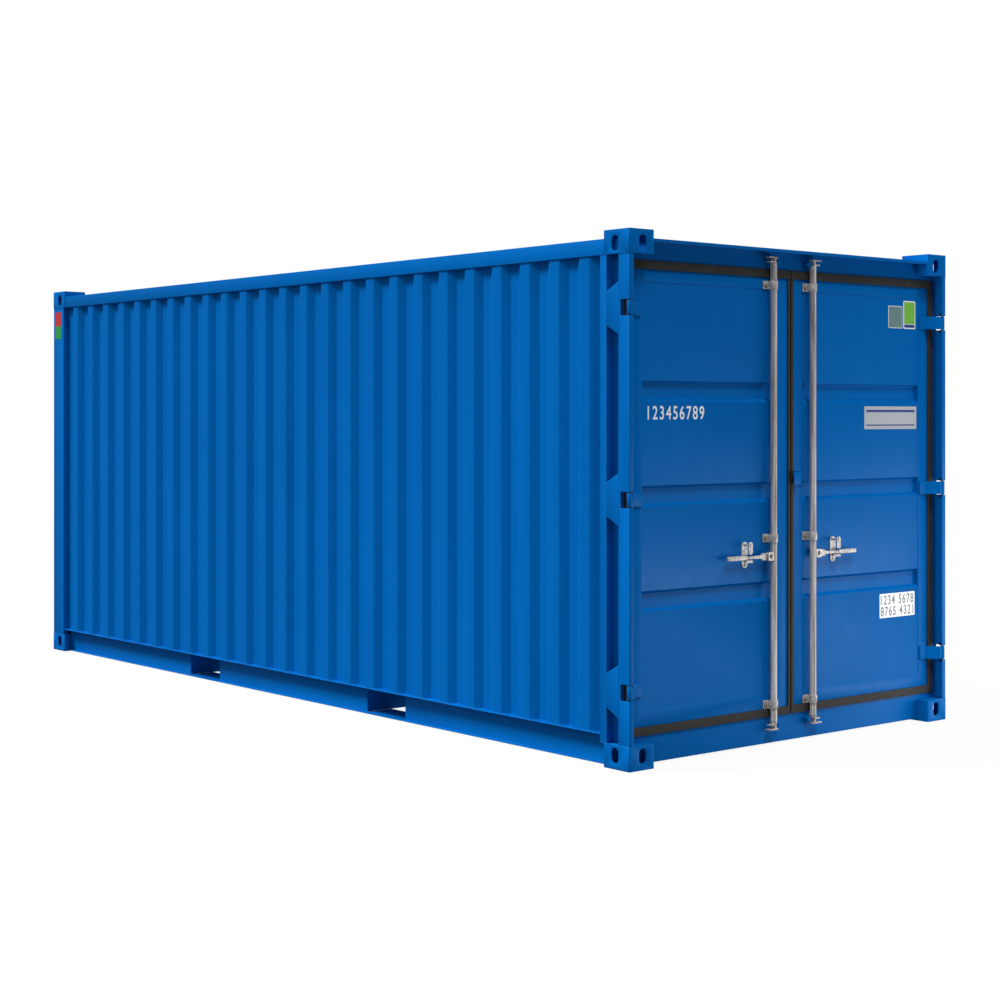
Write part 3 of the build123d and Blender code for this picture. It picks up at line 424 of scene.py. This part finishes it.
edgeRadius = {"corner_fittings_bottom": 0.004, "corner_fittings_top": 0.004, "top_side_rails": 0.006,
              "bottom_side_rails": 0.0015, "fork_opening_straps": 0.001, "rear_posts": 0.006,
              "rear_bottom_rail": 0.0015, "rear_top_rail": 0.006, "door_post_left": 0.0018,
              "door_post_right": 0.0018, "doorway_reveals": 0.002, "hinge_gussets": 0.0015,
              "hinge_pins": 0.001, "door_header": 0.0018, "door_sill": 0.004, "cross_members": 0.0015,
              "fork_pocket_sides": 0.001, "fork_pocket_roofs": 0.001, "bar_keepers": 0.003,
              "centre_tab": 0.002, "floor_boards": 0.001}
for word in sides:
    edgeRadius.update({f"door_leaf_{word}": 0.0014, f"hinge_blades_{word}": 0.002,
                       f"bar_guides_{word}": 0.0014, f"bar_cams_{word}": 0.0016,
                       f"handle_hub_{word}": 0.0014})
# nodes whose finish differs from that of their slot
# the fork pockets' sides and roofs take the lighter body paint in place of the darker base paint; the lift is
# painted light that stands in for light bounced into them from the floor
ownFinish = {"bar_guides_left": zincPlated, "bar_guides_right": zincPlated, "handle_hub_left": zincPlated,
             "handle_hub_right": zincPlated, "fork_pocket_sides": bluePaint, "fork_pocket_roofs": bluePaint}


def softened(node, width):
    # a merged copy of the node with rounded edges; triangles that lie flat together become whole faces first
    rounding = {"merge": 1e-5, "flat": 0.5, "segments": 2, "angle": 28}
    work = bmesh.new()
    work.from_mesh(frame["nodes"][node].data)
    bmesh.ops.remove_doubles(work, verts=work.verts, dist=rounding["merge"])
    bmesh.ops.dissolve_limit(work, angle_limit=math.radians(rounding["flat"]), verts=work.verts,
                             edges=work.edges)
    mesh = bpy.data.meshes.new(node + "_finished")
    work.to_mesh(mesh)
    work.free()
    mesh.materials.clear()
    mesh.materials.append(ownFinish.get(node, slotMaterials[slotOf[node]]))
    mesh.polygons.foreach_set("use_smooth", np.ones(len(mesh.polygons), bool))
    piece = bpy.data.objects.new(node + "_finished", mesh)
    bpy.context.scene.collection.objects.link(piece)
    bevel = piece.modifiers.new("edges", "BEVEL")
    bevel.width = width
    bevel.segments = rounding["segments"]
    bevel.limit_method = "ANGLE"
    bevel.angle_limit = math.radians(rounding["angle"])
    bevel.harden_normals = True
    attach(piece, bodyOf[node])
    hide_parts(node)


for node, width in edgeRadius.items():
    softened(node, width)
print("steel pieces finished:", len(edgeRadius))


# Corrugated walls

corrugated = {"pitch": 0.225, "crest": 0.072, "flank": 0.045, "depth": 0.030, "sheet": 0.002, "bend": 0.012,
              "footWeld": 0.004, "headWeld": 0.003, "sideCrests": 25, "rearCrests": 9}


def waveProfile(start, end, crests):
    # the trapezoid wave as a rounded path of (along, depth), at full depth on crests and 0 between them
    points = [(start, 0.0)]
    half, flank, depth = corrugated["crest"] / 2, corrugated["flank"], corrugated["depth"]
    for index in range(crests):
        middle = (index - (crests - 1) / 2) * corrugated["pitch"]
        points += [(middle - half - flank, 0), (middle - half, depth), (middle + half, depth),
                   (middle + half + flank, 0)]
    return roundedPath(points + [(end, 0.0)], corrugated["bend"])


def sheetLoop(profile, thickness):
    # the profile and its offset by thickness along its normal, as one closed loop
    tangent = np.gradient(profile, axis=0)
    tangent /= np.linalg.norm(tangent, axis=1)[:, None]
    normal = np.stack([-tangent[:, 1], tangent[:, 0]], 1)
    return np.concatenate([profile, (profile - normal * thickness)[::-1]])


def pressedStrip(loop, low, high):
    # a closed loop of (u, v), whose second half runs back beside its first, carried along w from low to high
    count = len(loop)
    points = np.column_stack([np.tile(loop, (2, 1)), np.repeat([low, high], count)])
    faces = gridFaces(2, count, wrapColumns=True)
    i = np.arange(count // 2 - 1)
    for level in (0, count):
        ends = [level + i, level + i + 1, level + count - 2 - i, level + count - 1 - i]
        faces += np.stack(ends, 1).tolist()
    return points, faces


def corrugatedWall(node, along, out, crests):
    # the wave's loop carried upwards: (u, v) stands at u * along + (inner face + v) * out
    low, high = [np.array(corner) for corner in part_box(node)]
    along, out = np.array(along), np.array(out)
    inner = max(low[:2] @ out, high[:2] @ out) - corrugated["depth"]
    profile = waveProfile(low[:2] @ along, high[:2] @ along, crests)
    loop = sheetLoop(profile, corrugated["sheet"])
    loop = loop[:, :1] * along + (inner + loop[:, 1:]) * out
    piece = meshPiece(node + "_pressed", [pressedStrip(loop, low[2], high[2])], bluePaint, "container")
    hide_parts(node)
    flat = profile[:, :1] * along + (inner + profile[:, 1:]) * out
    foot, head = [np.column_stack([flat, np.full(len(flat), z)]) for z in (low[2], high[2])]
    beads = [beadAlong(foot, (0, 0, 1), (*out, 0), corrugated["footWeld"]),
             beadAlong(head, (0, 0, -1), (*out, 0), corrugated["headWeld"])]
    meshPiece(node + "_welds", beads, bluePaint, "container", 180)


for word, side in sides.items():
    corrugatedWall(f"side_wall_{word}", (1, 0), (0, side), corrugated["sideCrests"])
corrugatedWall("rear_wall", (0, 1), (-1, 0), corrugated["rearCrests"])
print("walls pressed")


# Roof

def pressedRoof():
    # die-pressed roof: low + depth * wave(x) * fade(y), where fade falls to 0 near the rails; it is left open
    # over the corner fittings
    roofSheet = {"sheet": 0.002, "fade": 0.11, "flat": 0.03, "rows": 40, "crests": 25}
    low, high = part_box("roof")
    cutX = groups("corner_fittings_top", 0)[1][0][0]
    cutY = groups("corner_fittings_top", 1)[1][0][1]
    profile = waveProfile(low.x, high.x, roofSheet["crests"])
    cuts = [(x, np.interp(x, *profile.T)) for x in (cutX, -cutX)]
    profile = np.concatenate([profile, cuts])
    profile = profile[np.argsort(profile[:, 0])]
    x, wave = profile[:, 0], profile[:, 1] / corrugated["depth"]
    y = np.sort(np.append(np.linspace(low.y, high.y, roofSheet["rows"]), [cutY, -cutY]))
    fade = np.clip((np.minimum(y - low.y, high.y - y) - roofSheet["flat"]) / roofSheet["fade"], 0, 1)
    fade = fade * fade * (3 - 2 * fade)
    base = low.z + roofSheet["sheet"]
    z = base + (high.z - base) * wave[None, :] * fade[:, None]
    grid = np.stack(np.broadcast_arrays(x[None, :], y[:, None], z), -1).reshape(-1, 3)
    top = np.array(gridFaces(*z.shape))
    middle = grid[top].mean(1)
    top = top[(np.abs(middle[:, 0]) < cutX) | (np.abs(middle[:, 1]) < cutY)]
    edges = np.concatenate([top[:, [k, (k + 1) % 4]] for k in range(4)])
    first, times = np.unique(np.sort(edges, 1), axis=0, return_index=True, return_counts=True)[1:]
    a, b = edges[first[times == 1]].T
    count = len(grid)
    rim = np.stack([b, a, a + count, b + count], 1)
    points = np.concatenate([grid, grid - [0, 0, roofSheet["sheet"]]])
    faces = top.tolist() + (top[:, ::-1] + count).tolist() + rim.tolist()
    piece = meshPiece("roof_pressed", [(points, faces)], bluePaint, "container")
    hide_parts("roof")


pressedRoof()
print("roof pressed")


# Seals

def sealRing(word, side):
    # the lip's outline (share across, share of the thickness) carried round the leaf, mitred at the corners;
    # its free edge is pressed on unevenly: thickness - wave * (sin(a i) + sin(b i + 1) + 2) / 4 at station i
    seal = {"thickness": 0.008, "centreLap": 0.009, "step": 0.05, "wave": 0.0005, "beats": (0.83, 0.31),
            "lipBend": 0.03, "edge": 0.0039, "innerBend": 0.0008, "outerBend": 0.003, "crease": 25,
            "outline": [(0, 0), (0, 0.9), (0.02, 0.97), (0.3, 0.99), (0.5, 1), (0.8, 0.99), (0.97, 0.97),
                        (0.99, 0.9), (0.99, 0.15), (0.9, 0)]}
    low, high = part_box(f"door_seal_{word}")
    leafLow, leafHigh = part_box(f"door_leaf_{word}")
    near, far = sorted((abs(low.y), abs(high.y)))
    leafNear, leafFar = sorted((abs(leafLow.y), abs(leafHigh.y)))
    lap = leafNear + seal["centreLap"]
    inner = np.array([(lap, leafLow.z), (leafFar, leafLow.z), (leafFar, leafHigh.z), (lap, leafHigh.z)])
    outer = np.array([(near, low.z), (far, low.z), (far, high.z), (near, high.z)])
    outline = roundedPath(seal["outline"], seal["lipBend"], 3)
    across = outline[None, :, :1]
    rows = []
    for a, b in ((0, 1), (1, 2), (2, 3), (3, 0)):
        count = max(2, int(np.linalg.norm(outer[b] - outer[a]) / seal["step"]))
        t = np.arange(count)[:, None, None] / count
        start = inner[a] + (outer[a] - inner[a]) * across
        end = inner[b] + (outer[b] - inner[b]) * across
        rows.append(start + (end - start) * t)
    flat = np.concatenate(rows)
    i = np.arange(len(flat))
    wave = seal["wave"] * (np.sin(i * seal["beats"][0]) + np.sin(i * seal["beats"][1] + 1) + 2) / 4
    back = high.x - seal["thickness"]
    depth = back + outline[None, :, 1] * (seal["thickness"] - wave[:, None])
    points = np.stack([depth, side * flat[:, :, 0], flat[:, :, 1]], -1).reshape(-1, 3)
    ring = points, gridFaces(len(flat), len(outline), wrapRows=True, wrapColumns=True)
    # the seal's edge beside the leaf: a strip along its hinge side and foot
    reach = seal["edge"]
    strip = [(leafFar, leafHigh.z), (leafFar, leafLow.z), (leafNear, leafLow.z)]
    beyond = [(leafFar + reach, leafHigh.z), (leafFar + reach, leafLow.z - reach),
              (leafNear, leafLow.z - reach)]
    strip, beyond = roundedPath(strip, seal["innerBend"], 2), roundedPath(beyond, seal["outerBend"], 2)
    edge, edgeFaces = pressedStrip(np.concatenate([strip, beyond[::-1]]) * (side, 1), low.x, back)
    piece = meshPiece(f"door_seal_{word}_extruded", [ring, (edge[:, [2, 0, 1]], edgeFaces)], sealRubber,
                      f"door_{word}", seal["crease"])
    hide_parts(f"door_seal_{word}")


for word, side in sides.items():
    sealRing(word, side)
print("seals laid")


# Locking bars and what is bolted on them; turned profiles are lists of (along, radius)

def lockingBar(word):
    # drawn tube: one radius from cam to cam, and a weld ring radius + weld * sin(pi t) at each collar
    bar = {"weld": 0.0022, "ring": 0.006, "around": 40, "crease": 60}
    low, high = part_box(f"locking_bar_{word}")
    radius, length = (high.x - low.x) / 2, high.z - low.z
    foot = ((low.x + high.x) / 2, (low.y + high.y) / 2, low.z)
    ring = [(bar["ring"] * t, radius + bar["weld"] * math.sin(math.pi * t)) for t in np.linspace(0, 1, 6)]
    profile = ring + [(length - along, r) for along, r in ring[::-1]]
    piece = meshPiece(f"locking_bar_{word}_drawn", [turned(profile, foot, (0, 0, 1), bar["around"])],
                      galvanised, f"bar_{word}", bar["crease"])
    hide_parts(f"locking_bar_{word}")


def guideBolts(word):
    # under each guide's bolt head a round washer, and the bolt's end standing out of the head
    bolt = {"base": 0.005, "fromEnd": 0.0165,
            "washer": [(0, 0.0125), (0.00112, 0.0125), (0.0016, 0.011875)],
            "end": [(0.006, 0.005), (0.00754, 0.005), (0.0082, 0.0035)]}
    parts = []
    for low, high in groups(f"bar_guides_{word}", 2):
        centre = (low[0] + bolt["base"], low[1] + bolt["fromEnd"], (low[2] + high[2]) / 2)
        parts += [turned(bolt["washer"], centre, (1, 0, 0), 28), turned(bolt["end"], centre, (1, 0, 0), 20)]
    meshPiece(f"guide_bolts_{word}", parts, yellowZinc, f"door_{word}")


def hubCheek(word, side):
    # the square cheek in front of the hub, with the pivot bolt's washer, ring and end
    cheek = {"half": 0.0205, "corner": 0.004, "thick": 0.0045, "head": 0.006, "pivot": 0.185,
             "washer": [(0, 0.0115), (0.0012, 0.0115), (0.0016, 0.010695)],
             "bolt": [(0.0016, 0.0085), (0.0027, 0.0085), (0.0035, 0.007225), (0.0035, 0.0045),
                      (0.0045, 0.0045), (0.0049, 0.00315)]}
    low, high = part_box(f"handle_hub_{word}")
    x = high.x - cheek["head"]
    y, z, half = side * cheek["pivot"], (low.z + high.z) / 2, cheek["half"]
    plate = roundedPlate((y - half, z - half), (y + half, z + half), x, cheek["thick"], cheek["corner"])
    meshPiece(f"hub_cheek_{word}", [plate], zincPlated, f"bar_{word}", 0)
    centre = (x + cheek["thick"], y, z)
    for name, profile, finish in (("washer", cheek["washer"], pinSteel), ("bolt", cheek["bolt"], yellowZinc)):
        meshPiece(f"pivot_{name}_{word}", [turned(profile, centre, (1, 0, 0))], finish, f"bar_{word}")


def liftHandle(word, side):
    # forged handle: stations (along, half thickness a, half height b) with the section |u/a|^5 + |v/b|^5 = 1
    forged = {"pivot": 0.185, "power": 0.4, "around": 28, "crease": 45, "darkStretch": (13, 16),
              "stations": [(-0.012, 0.001, 0.003), (-0.0115, 0.0035, 0.0065), (-0.008, 0.004, 0.0095),
                           (0.0, 0.004, 0.0115), (0.009, 0.004, 0.013), (0.0115, 0.0042, 0.018),
                           (0.0135, 0.0045, 0.0188), (0.056, 0.0045, 0.0188), (0.0585, 0.0042, 0.0175),
                           (0.0605, 0.0042, 0.0115), (0.064, 0.0045, 0.0098), (0.075, 0.0045, 0.0092),
                           (0.09, 0.0052, 0.0085), (0.122, 0.006, 0.0075), (0.14, 0.0062, 0.0082),
                           (0.165, 0.0068, 0.009), (0.1865, 0.0072, 0.0098), (0.1885, 0.0075, 0.012),
                           (0.27, 0.0074, 0.0118), (0.303, 0.0072, 0.0112), (0.3095, 0.0066, 0.0104),
                           (0.3122, 0.005, 0.0085), (0.313, 0.002, 0.005)]}
    low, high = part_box(f"bar_handle_{word}")
    along, thick, tall = np.array(forged["stations"]).T[:, :, None]
    count = forged["around"]
    angle = np.arange(count) * 2 * math.pi / count
    u, v = [np.sign(a) * np.abs(a) ** forged["power"] for a in (np.cos(angle), np.sin(angle))]
    x = (low.x + high.x) / 2 + thick * u
    y = side * (forged["pivot"] + along) + 0 * u
    z = (low.z + high.z) / 2 + tall * v
    handle = np.stack([x, y, z], -1).reshape(-1, 3), tubeFaces(len(along), count)
    piece = meshPiece(f"bar_handle_{word}_forged", [handle], zincPlated, f"handle_{word}",
                      forged["crease"])
    piece.data.materials.append(galvanised)
    dark = np.zeros(len(piece.data.polygons), int)
    first, last = forged["darkStretch"]
    dark[first * count:last * count] = 1  # the stretch before the grip is drawn darker, in the galvanised finish
    piece.data.polygons.foreach_set("material_index", dark)
    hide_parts(f"bar_handle_{word}")


def handleRetainer(word):
    # plate with round ends, a bent shelf under the handle, the catch's rivet, and two bolts in the foot
    retainer = {"half": 0.0215, "plate": 0.004, "ends": 0.98,
                "shelf": 0.9582, "sheet": 0.0045, "reach": 0.039, "lip": 0.013, "bend": 0.005,
                "stem": 0.0062, "neck": 0.005, "clear": 0.0005, "rivetDrop": 0.015,
                "cap": [(0, 0.0078), (0.0015, 0.0078), (0.0025, 0.00468), (0.0028, 0.0005)],
                "bolt": 0.0052, "dome": 0.003, "tip": 0.0002, "boltHeights": (0.0155, 0.031),
                "boltCrease": 50}
    low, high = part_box(f"handle_retainer_{word}")
    catchLow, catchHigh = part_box(f"handle_catch_{word}")
    y, half = (low.y + high.y) / 2, retainer["half"]
    front, reach = low.x + retainer["plate"], low.x + retainer["reach"]
    plate = roundedPlate((y - half, low.z), (y + half, high.z), low.x, retainer["plate"],
                         half * retainer["ends"])
    level = retainer["shelf"] + retainer["sheet"]
    path = roundedPath([(front, level), (reach, level), (reach, level - retainer["lip"])], retainer["bend"])
    shelf, shelfFaces = pressedStrip(sheetLoop(path, retainer["sheet"]), y - half, y + half)
    under, over = catchLow.x - front - retainer["clear"], catchHigh.x - front + retainer["clear"]
    stem, neck = retainer["stem"], retainer["neck"]
    rivet = [(0, stem), (under, stem), (under, neck), (over, neck)]
    rivet += [(over + along, radius) for along, radius in retainer["cap"]]
    rivet = turned(rivet, (front, y, catchHigh.z - retainer["rivetDrop"]), (1, 0, 0), 28)
    piece = meshPiece(f"handle_retainer_{word}_pressed", [plate, (shelf[:, [0, 2, 1]], shelfFaces), rivet],
                      zincPlated, f"door_{word}")
    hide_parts(f"handle_retainer_{word}")
    dome = [(retainer["dome"] * math.sin(a), max(retainer["bolt"] * math.cos(a), retainer["tip"]))
            for a in np.linspace(0, math.pi / 2, 6)]
    bolts = [turned(dome, (front, y, low.z + height), (1, 0, 0), 20) for height in retainer["boltHeights"]]
    meshPiece(f"retainer_bolts_{word}", bolts, pinSteel, f"door_{word}",
              retainer["boltCrease"])


def handleCatch(word):
    # the hanging catch: a small plate with round ends and a pressed rib down its middle
    catch = {"half": 0.0145, "ends": 0.8, "rib": 0.0045, "rise": 0.0012, "ribEnds": 0.95, "ribFoot": 0.006,
             "ribHead": 0.026}
    low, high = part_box(f"handle_catch_{word}")
    y, half, rib = (low.y + high.y) / 2, catch["half"], catch["rib"]
    plate = roundedPlate((y - half, low.z), (y + half, high.z), low.x, high.x - low.x, half * catch["ends"])
    pressed = roundedPlate((y - rib, low.z + catch["ribFoot"]), (y + rib, high.z - catch["ribHead"]), high.x,
                           catch["rise"], rib * catch["ribEnds"])
    piece = meshPiece(f"handle_catch_{word}_pressed", [plate, pressed], zincPlated, f"catch_{word}",
                      0)
    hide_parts(f"handle_catch_{word}")


for word, side in sides.items():
    lockingBar(word)
    guideBolts(word)
    hubCheek(word, side)
    liftHandle(word, side)
    handleRetainer(word)
    handleCatch(word)
print("bars and bolts made")


# Weld seams

def weldSeams():
    # beads where plates meet: hinge blades on the leaves, keepers on header and sill, posts on the fittings
    weld = {"blade": 0.0035, "keeper": 0.003, "post": 0.0016, "plate": 0.047, "lip": 0.028}
    for word, side in sides.items():
        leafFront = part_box(f"door_leaf_{word}")[1].x
        beads = []
        for low, high in groups(f"hinge_blades_{word}", 2):
            near = min(abs(low[1]), abs(high[1]))
            acrossEnds = sorted((side * near, side * (near + weld["plate"])))
            beads += frameSeam(leafFront, acrossEnds, (low[2], high[2]), weld["blade"])
        meshPiece(f"blade_welds_{word}", beads, bluePaint, f"door_{word}", 180)
    beads = []
    for rowLow, rowHigh in groups("bar_keepers", 2):
        for low, high in groups("bar_keepers", 1):
            beads += frameSeam(rowLow[0], (low[1], high[1]), (rowLow[2], rowHigh[2]), weld["keeper"])
    for word, side in sides.items():
        low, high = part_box(f"door_post_{word}")
        outer = side * max(abs(low.y), abs(high.y))
        for z, up in ((low.z, 1), (high.z, -1)):
            path = [(low.x, outer, z), (high.x, outer, z), (high.x, outer - side * weld["lip"], z)]
            beads += [beadAlong(path[:2], (0, 0, up), (0, side, 0), weld["post"]),
                      beadAlong(path[1:], (0, 0, up), (1, 0, 0), weld["post"])]
    meshPiece("frame_welds", beads, bluePaint, "container", 180)


weldSeams()
print("seams laid")


# Signs: bare plates and plain numbers

def numbers(name, text, corner, width, height, x, material, body):
    # plain digits on the plane X = x, stretched so that they fill width and height from corner (Y, Z)
    digits = {"size": 0.1, "spacing": 1.25, "bolder": 0.0012, "raised": 0.00015}
    curve = bpy.data.curves.new("digits", "FONT")
    curve.body = text
    curve.size = digits["size"]
    curve.space_character = digits["spacing"]
    curve.offset = digits["bolder"]
    curve.extrude = digits["raised"]
    holder = bpy.data.objects.new("digits", curve)
    mesh = bpy.data.meshes.new_from_object(holder)
    bpy.data.objects.remove(holder)
    points = np.empty(len(mesh.vertices) * 3)
    mesh.vertices.foreach_get("co", points)
    points = points.reshape(-1, 3) - points.reshape(-1, 3).min(0)
    wide, tall = points.max(0)[:2]
    mesh.vertices.foreach_set("co", points.ravel())
    mesh.transform(Matrix(((0, 0, 1, x), (width / wide, 0, 0, corner[0]), (0, height / tall, 0, corner[1]),
                           (0, 0, 0, 1))))
    mesh.materials.clear()
    mesh.materials.append(material)
    piece = bpy.data.objects.new(name, mesh)
    bpy.context.scene.collection.objects.link(piece)
    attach(piece, body)


def doorSigns():
    # bare plates where the photographed door carries signs, and plain numbers; every plate is given as
    # (finish, low and high corner in Y and Z, sheets below it, corner radius)
    whiteVinyl = printedVinyl("whiteVinyl", "#f4f6f7")
    greyVinyl = printedVinyl("greyVinyl", "#6d8d8c")
    limeVinyl = printedVinyl("limeVinyl", "#79bf45")
    indigoVinyl = printedVinyl("indigoVinyl", "#27408f")
    silverFoil = printedVinyl("silverFoil", "#b9bec4")
    inkGrey = printedVinyl("inkGrey", "#4a5460")
    signs = {"grey_plate_rim": (whiteVinyl, (0.809, 2.178), (0.930, 2.300), 0, 0.008),
             "grey_plate": (greyVinyl, (0.813, 2.182), (0.926, 2.296), 1, 0.006),
             "lime_plate_rim": (whiteVinyl, (0.939, 2.177), (1.044, 2.331), 0, 0.008),
             "lime_plate": (limeVinyl, (0.946, 2.204), (1.037, 2.324), 1, 0.004),
             "lime_plate_foot": (indigoVinyl, (0.946, 2.184), (1.037, 2.200), 1, 0.002),
             "silver_plate": (silverFoil, (0.605, 1.623), (1.053, 1.747), 0, 0.004),
             "silver_plate_stripe": (indigoVinyl, (0.622, 1.716), (1.036, 1.728), 1, 0.002),
             "silver_plate_foot": (indigoVinyl, (0.622, 1.642), (1.036, 1.648), 1, 0.002),
             "white_plate": (whiteVinyl, (0.734, 0.590), (1.037, 0.722), 0, 0.004)}
    # numbers: (text, low corner in Y and Z, width, height, sheets below them, finish, body)
    rows = {"plate_numbers_0": ("1234 5678", (0.744, 0.661), 0.282, 0.052, 1, inkGrey, "door_right"),
            "plate_numbers_1": ("8765 4321", (0.744, 0.599), 0.282, 0.052, 1, inkGrey, "door_right"),
            "door_number": ("123456789", (-1.024, 1.677), 0.392, 0.068, 0, whiteVinyl, "door_left")}
    sheet, bandDepth = 0.0008, 0.003
    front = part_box("door_leaf_right")[1].x - bandDepth  # the leaf's face between its pressed bands
    for name, (finish, low, high, below, radius) in signs.items():
        plate = roundedPlate(low, high, front + below * sheet, sheet, radius)
        meshPiece(name, [plate], finish, "door_right", 0)
    for name, (text, corner, width, height, below, finish, body) in rows.items():
        numbers(name, text, corner, width, height, front + below * sheet, finish, body)


def postSigns():
    # two small plates on the rear post, one over the other: (colour, foot, head)
    signs = {"red_plate": ("#c8323a", 2.342, 2.443), "green_plate": ("#2f9a4e", 2.250, 2.341)}
    post = {"from": -3.001, "to": -2.907, "sheet": 0.0008, "corner": 0.004}
    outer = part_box("rear_posts")[0].y
    for name, (colour, foot, head) in signs.items():
        points, faces = roundedPlate((post["from"], foot), (post["to"], head), 0, post["sheet"],
                                     post["corner"])
        points = np.stack([points[:, 1], outer - points[:, 0], points[:, 2]], 1)
        meshPiece(name, [(points, faces)], printedVinyl(name + "Vinyl", colour), "container", 0)


doorSigns()
postSigns()
print("signs placed")


# Base

def pocketMouths():
    # the flat plate at the foot of each fork pocket's mouth, and its weld to the rail's foot
    mouth = {"depth": 0.168, "sheet": 0.004, "corner": 0.004, "weld": 0.004, "apart": 0.5}
    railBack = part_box("cross_members")[1].y
    parts = []
    for low, high in groups("fork_opening_straps", 0, mouth["apart"]):
        for side in sides.values():
            a, b = sorted((side * railBack, side * (railBack - mouth["depth"])))
            flat, faces = roundedPlate((low[0], a), (high[0], b), low[2], mouth["sheet"], mouth["corner"])
            parts.append((flat[:, [1, 2, 0]], faces))
            edge = [(x, side * railBack, low[2] + mouth["sheet"]) for x in (low[0], high[0])]
            parts.append(beadAlong(edge, (0, 0, 1), (0, -side, 0), mouth["weld"]))
    meshPiece("pocket_mouth_plates", parts, bluePaint, "container", 0)


def floorScrews():
    # countersunk screws in the plywood, a row over every cross member
    screw = {"perRow": 9, "fromEdge": 0.06, "around": 12,
             "head": [(-0.0005, 0.006), (0.0003, 0.006), (0.00009, 0.003)]}
    low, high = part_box("floor_boards")
    stations = [(a[0] + b[0]) / 2 for a, b in groups("cross_members", 0)]
    across = np.linspace(low.y + screw["fromEdge"], high.y - screw["fromEdge"], screw["perRow"])
    parts = [turned(screw["head"], (x, y, high.z), (0, 0, 1), screw["around"])
             for x in stations for y in across]
    meshPiece("floor_screws", parts, pinSteel, "container", 0)


pocketMouths()
floorScrews()
print("base finished")


# Studio

def addLamp(name, kind, settings, place, target, mirrored):
    # a lamp at place that shines towards target, with or without gloss of its own
    light = bpy.data.lights.new(name, kind)
    for key, value in settings.items():
        setattr(light, key, value)
    lamp = bpy.data.objects.new(name, light)
    bpy.context.scene.collection.objects.link(lamp)
    lamp.location = place
    lamp.rotation_mode = "QUATERNION"
    lamp.rotation_quaternion = (Vector(place) - Vector(target)).to_track_quat("Z", "Y")
    lamp.visible_camera = False
    lamp.visible_glossy = mirrored


def studio():
    # floor, world light and lamps; the floor gives no bounce, which the world's even light stands for.
    # suns: (place, strength, width in degrees, gloss); softboxes: (place, target, power, size, spread, gloss)
    light = {"floor": 40, "ambient": 0.25, "mirrored": 0.12, "sky": (0.95, 0.97, 1, 1),
             "suns": {"keyLight": ((-0.7, -0.75, 1.2), 4.05, 20, True),
                      "doorLight": ((0.8, -0.1, 1.6), 1.78, 20, False),
                      "leftLight": ((0.15, -1.0, 0.5), 0.3, 30, False)},
             "softboxes": {"softRight": ((4.6, 2.8, 0.4), (2.9, 0.8, 0.6), 58, (2.6, 1.4), 180, True),
                           "postLight": ((3.62, -4.0, 1.3), (3.62, 1.2, 1.3), 13, (0.6, 2.8), 14, False)}}
    half = light["floor"]
    corners = [(-half, -half, 0), (half, -half, 0), (half, half, 0), (-half, half, 0)]
    mesh = bpy.data.meshes.new("studio_floor")
    mesh.from_pydata(corners, [], [(0, 1, 2, 3)])
    mesh.materials.append(studioFloor())
    floor = bpy.data.objects.new("studio_floor", mesh)
    bpy.context.scene.collection.objects.link(floor)
    floor.visible_diffuse = False
    floor.visible_glossy = False
    world = bpy.data.worlds.new("studio")
    bpy.context.scene.world = world
    world.use_nodes = True
    tree = world.node_tree
    tree.nodes.clear()
    path = addNode(tree, "LightPath")
    glow = addNode(tree, "MapRange", {3: light["ambient"], 4: light["mirrored"]},
                   {0: path.outputs["Is Glossy Ray"]})
    lit = addNode(tree, "Background", {"Color": light["sky"]}, {"Strength": glow})
    seen = addNode(tree, "Background", {"Color": (1, 1, 1, 1), "Strength": 1})
    mixed = addNode(tree, "MixShader", links={0: path.outputs["Is Camera Ray"], 1: lit, 2: seen})
    addNode(tree, "OutputWorld", links={"Surface": mixed})
    for name, (place, strength, width, gloss) in light["suns"].items():
        addLamp(name, "SUN", {"energy": strength, "angle": math.radians(width)}, place, (0, 0, 0), gloss)
    for name, (place, target, power, (width, height), spread, gloss) in light["softboxes"].items():
        settings = {"shape": "RECTANGLE", "size": width, "size_y": height, "energy": power,
                    "spread": math.radians(spread)}
        addLamp(name, "AREA", settings, place, target, gloss)


def photoCamera():
    # fitted to the photograph's edges: level camera, horizon 415 pixels below the picture's top
    view = {"place": (9.42094, -7.305433, 1.698802), "azimuth": 50.396, "lens": 66.71, "sensor": 36,
            "horizon": 415.24, "frame": 1000}
    camera = bpy.data.cameras.new("photoCamera")
    camera.lens = view["lens"]
    camera.sensor_width = view["sensor"]
    camera.shift_y = (view["horizon"] - view["frame"] / 2) / view["frame"]
    holder = bpy.data.objects.new("photoCamera", camera)
    bpy.context.scene.collection.objects.link(holder)
    holder.location = view["place"]
    holder.rotation_euler = (math.radians(90), 0, math.radians(view["azimuth"]))
    bpy.context.scene.camera = holder


studio()
photoCamera()
bpy.context.scene.view_settings.view_transform = "Standard"
print("studio ready")
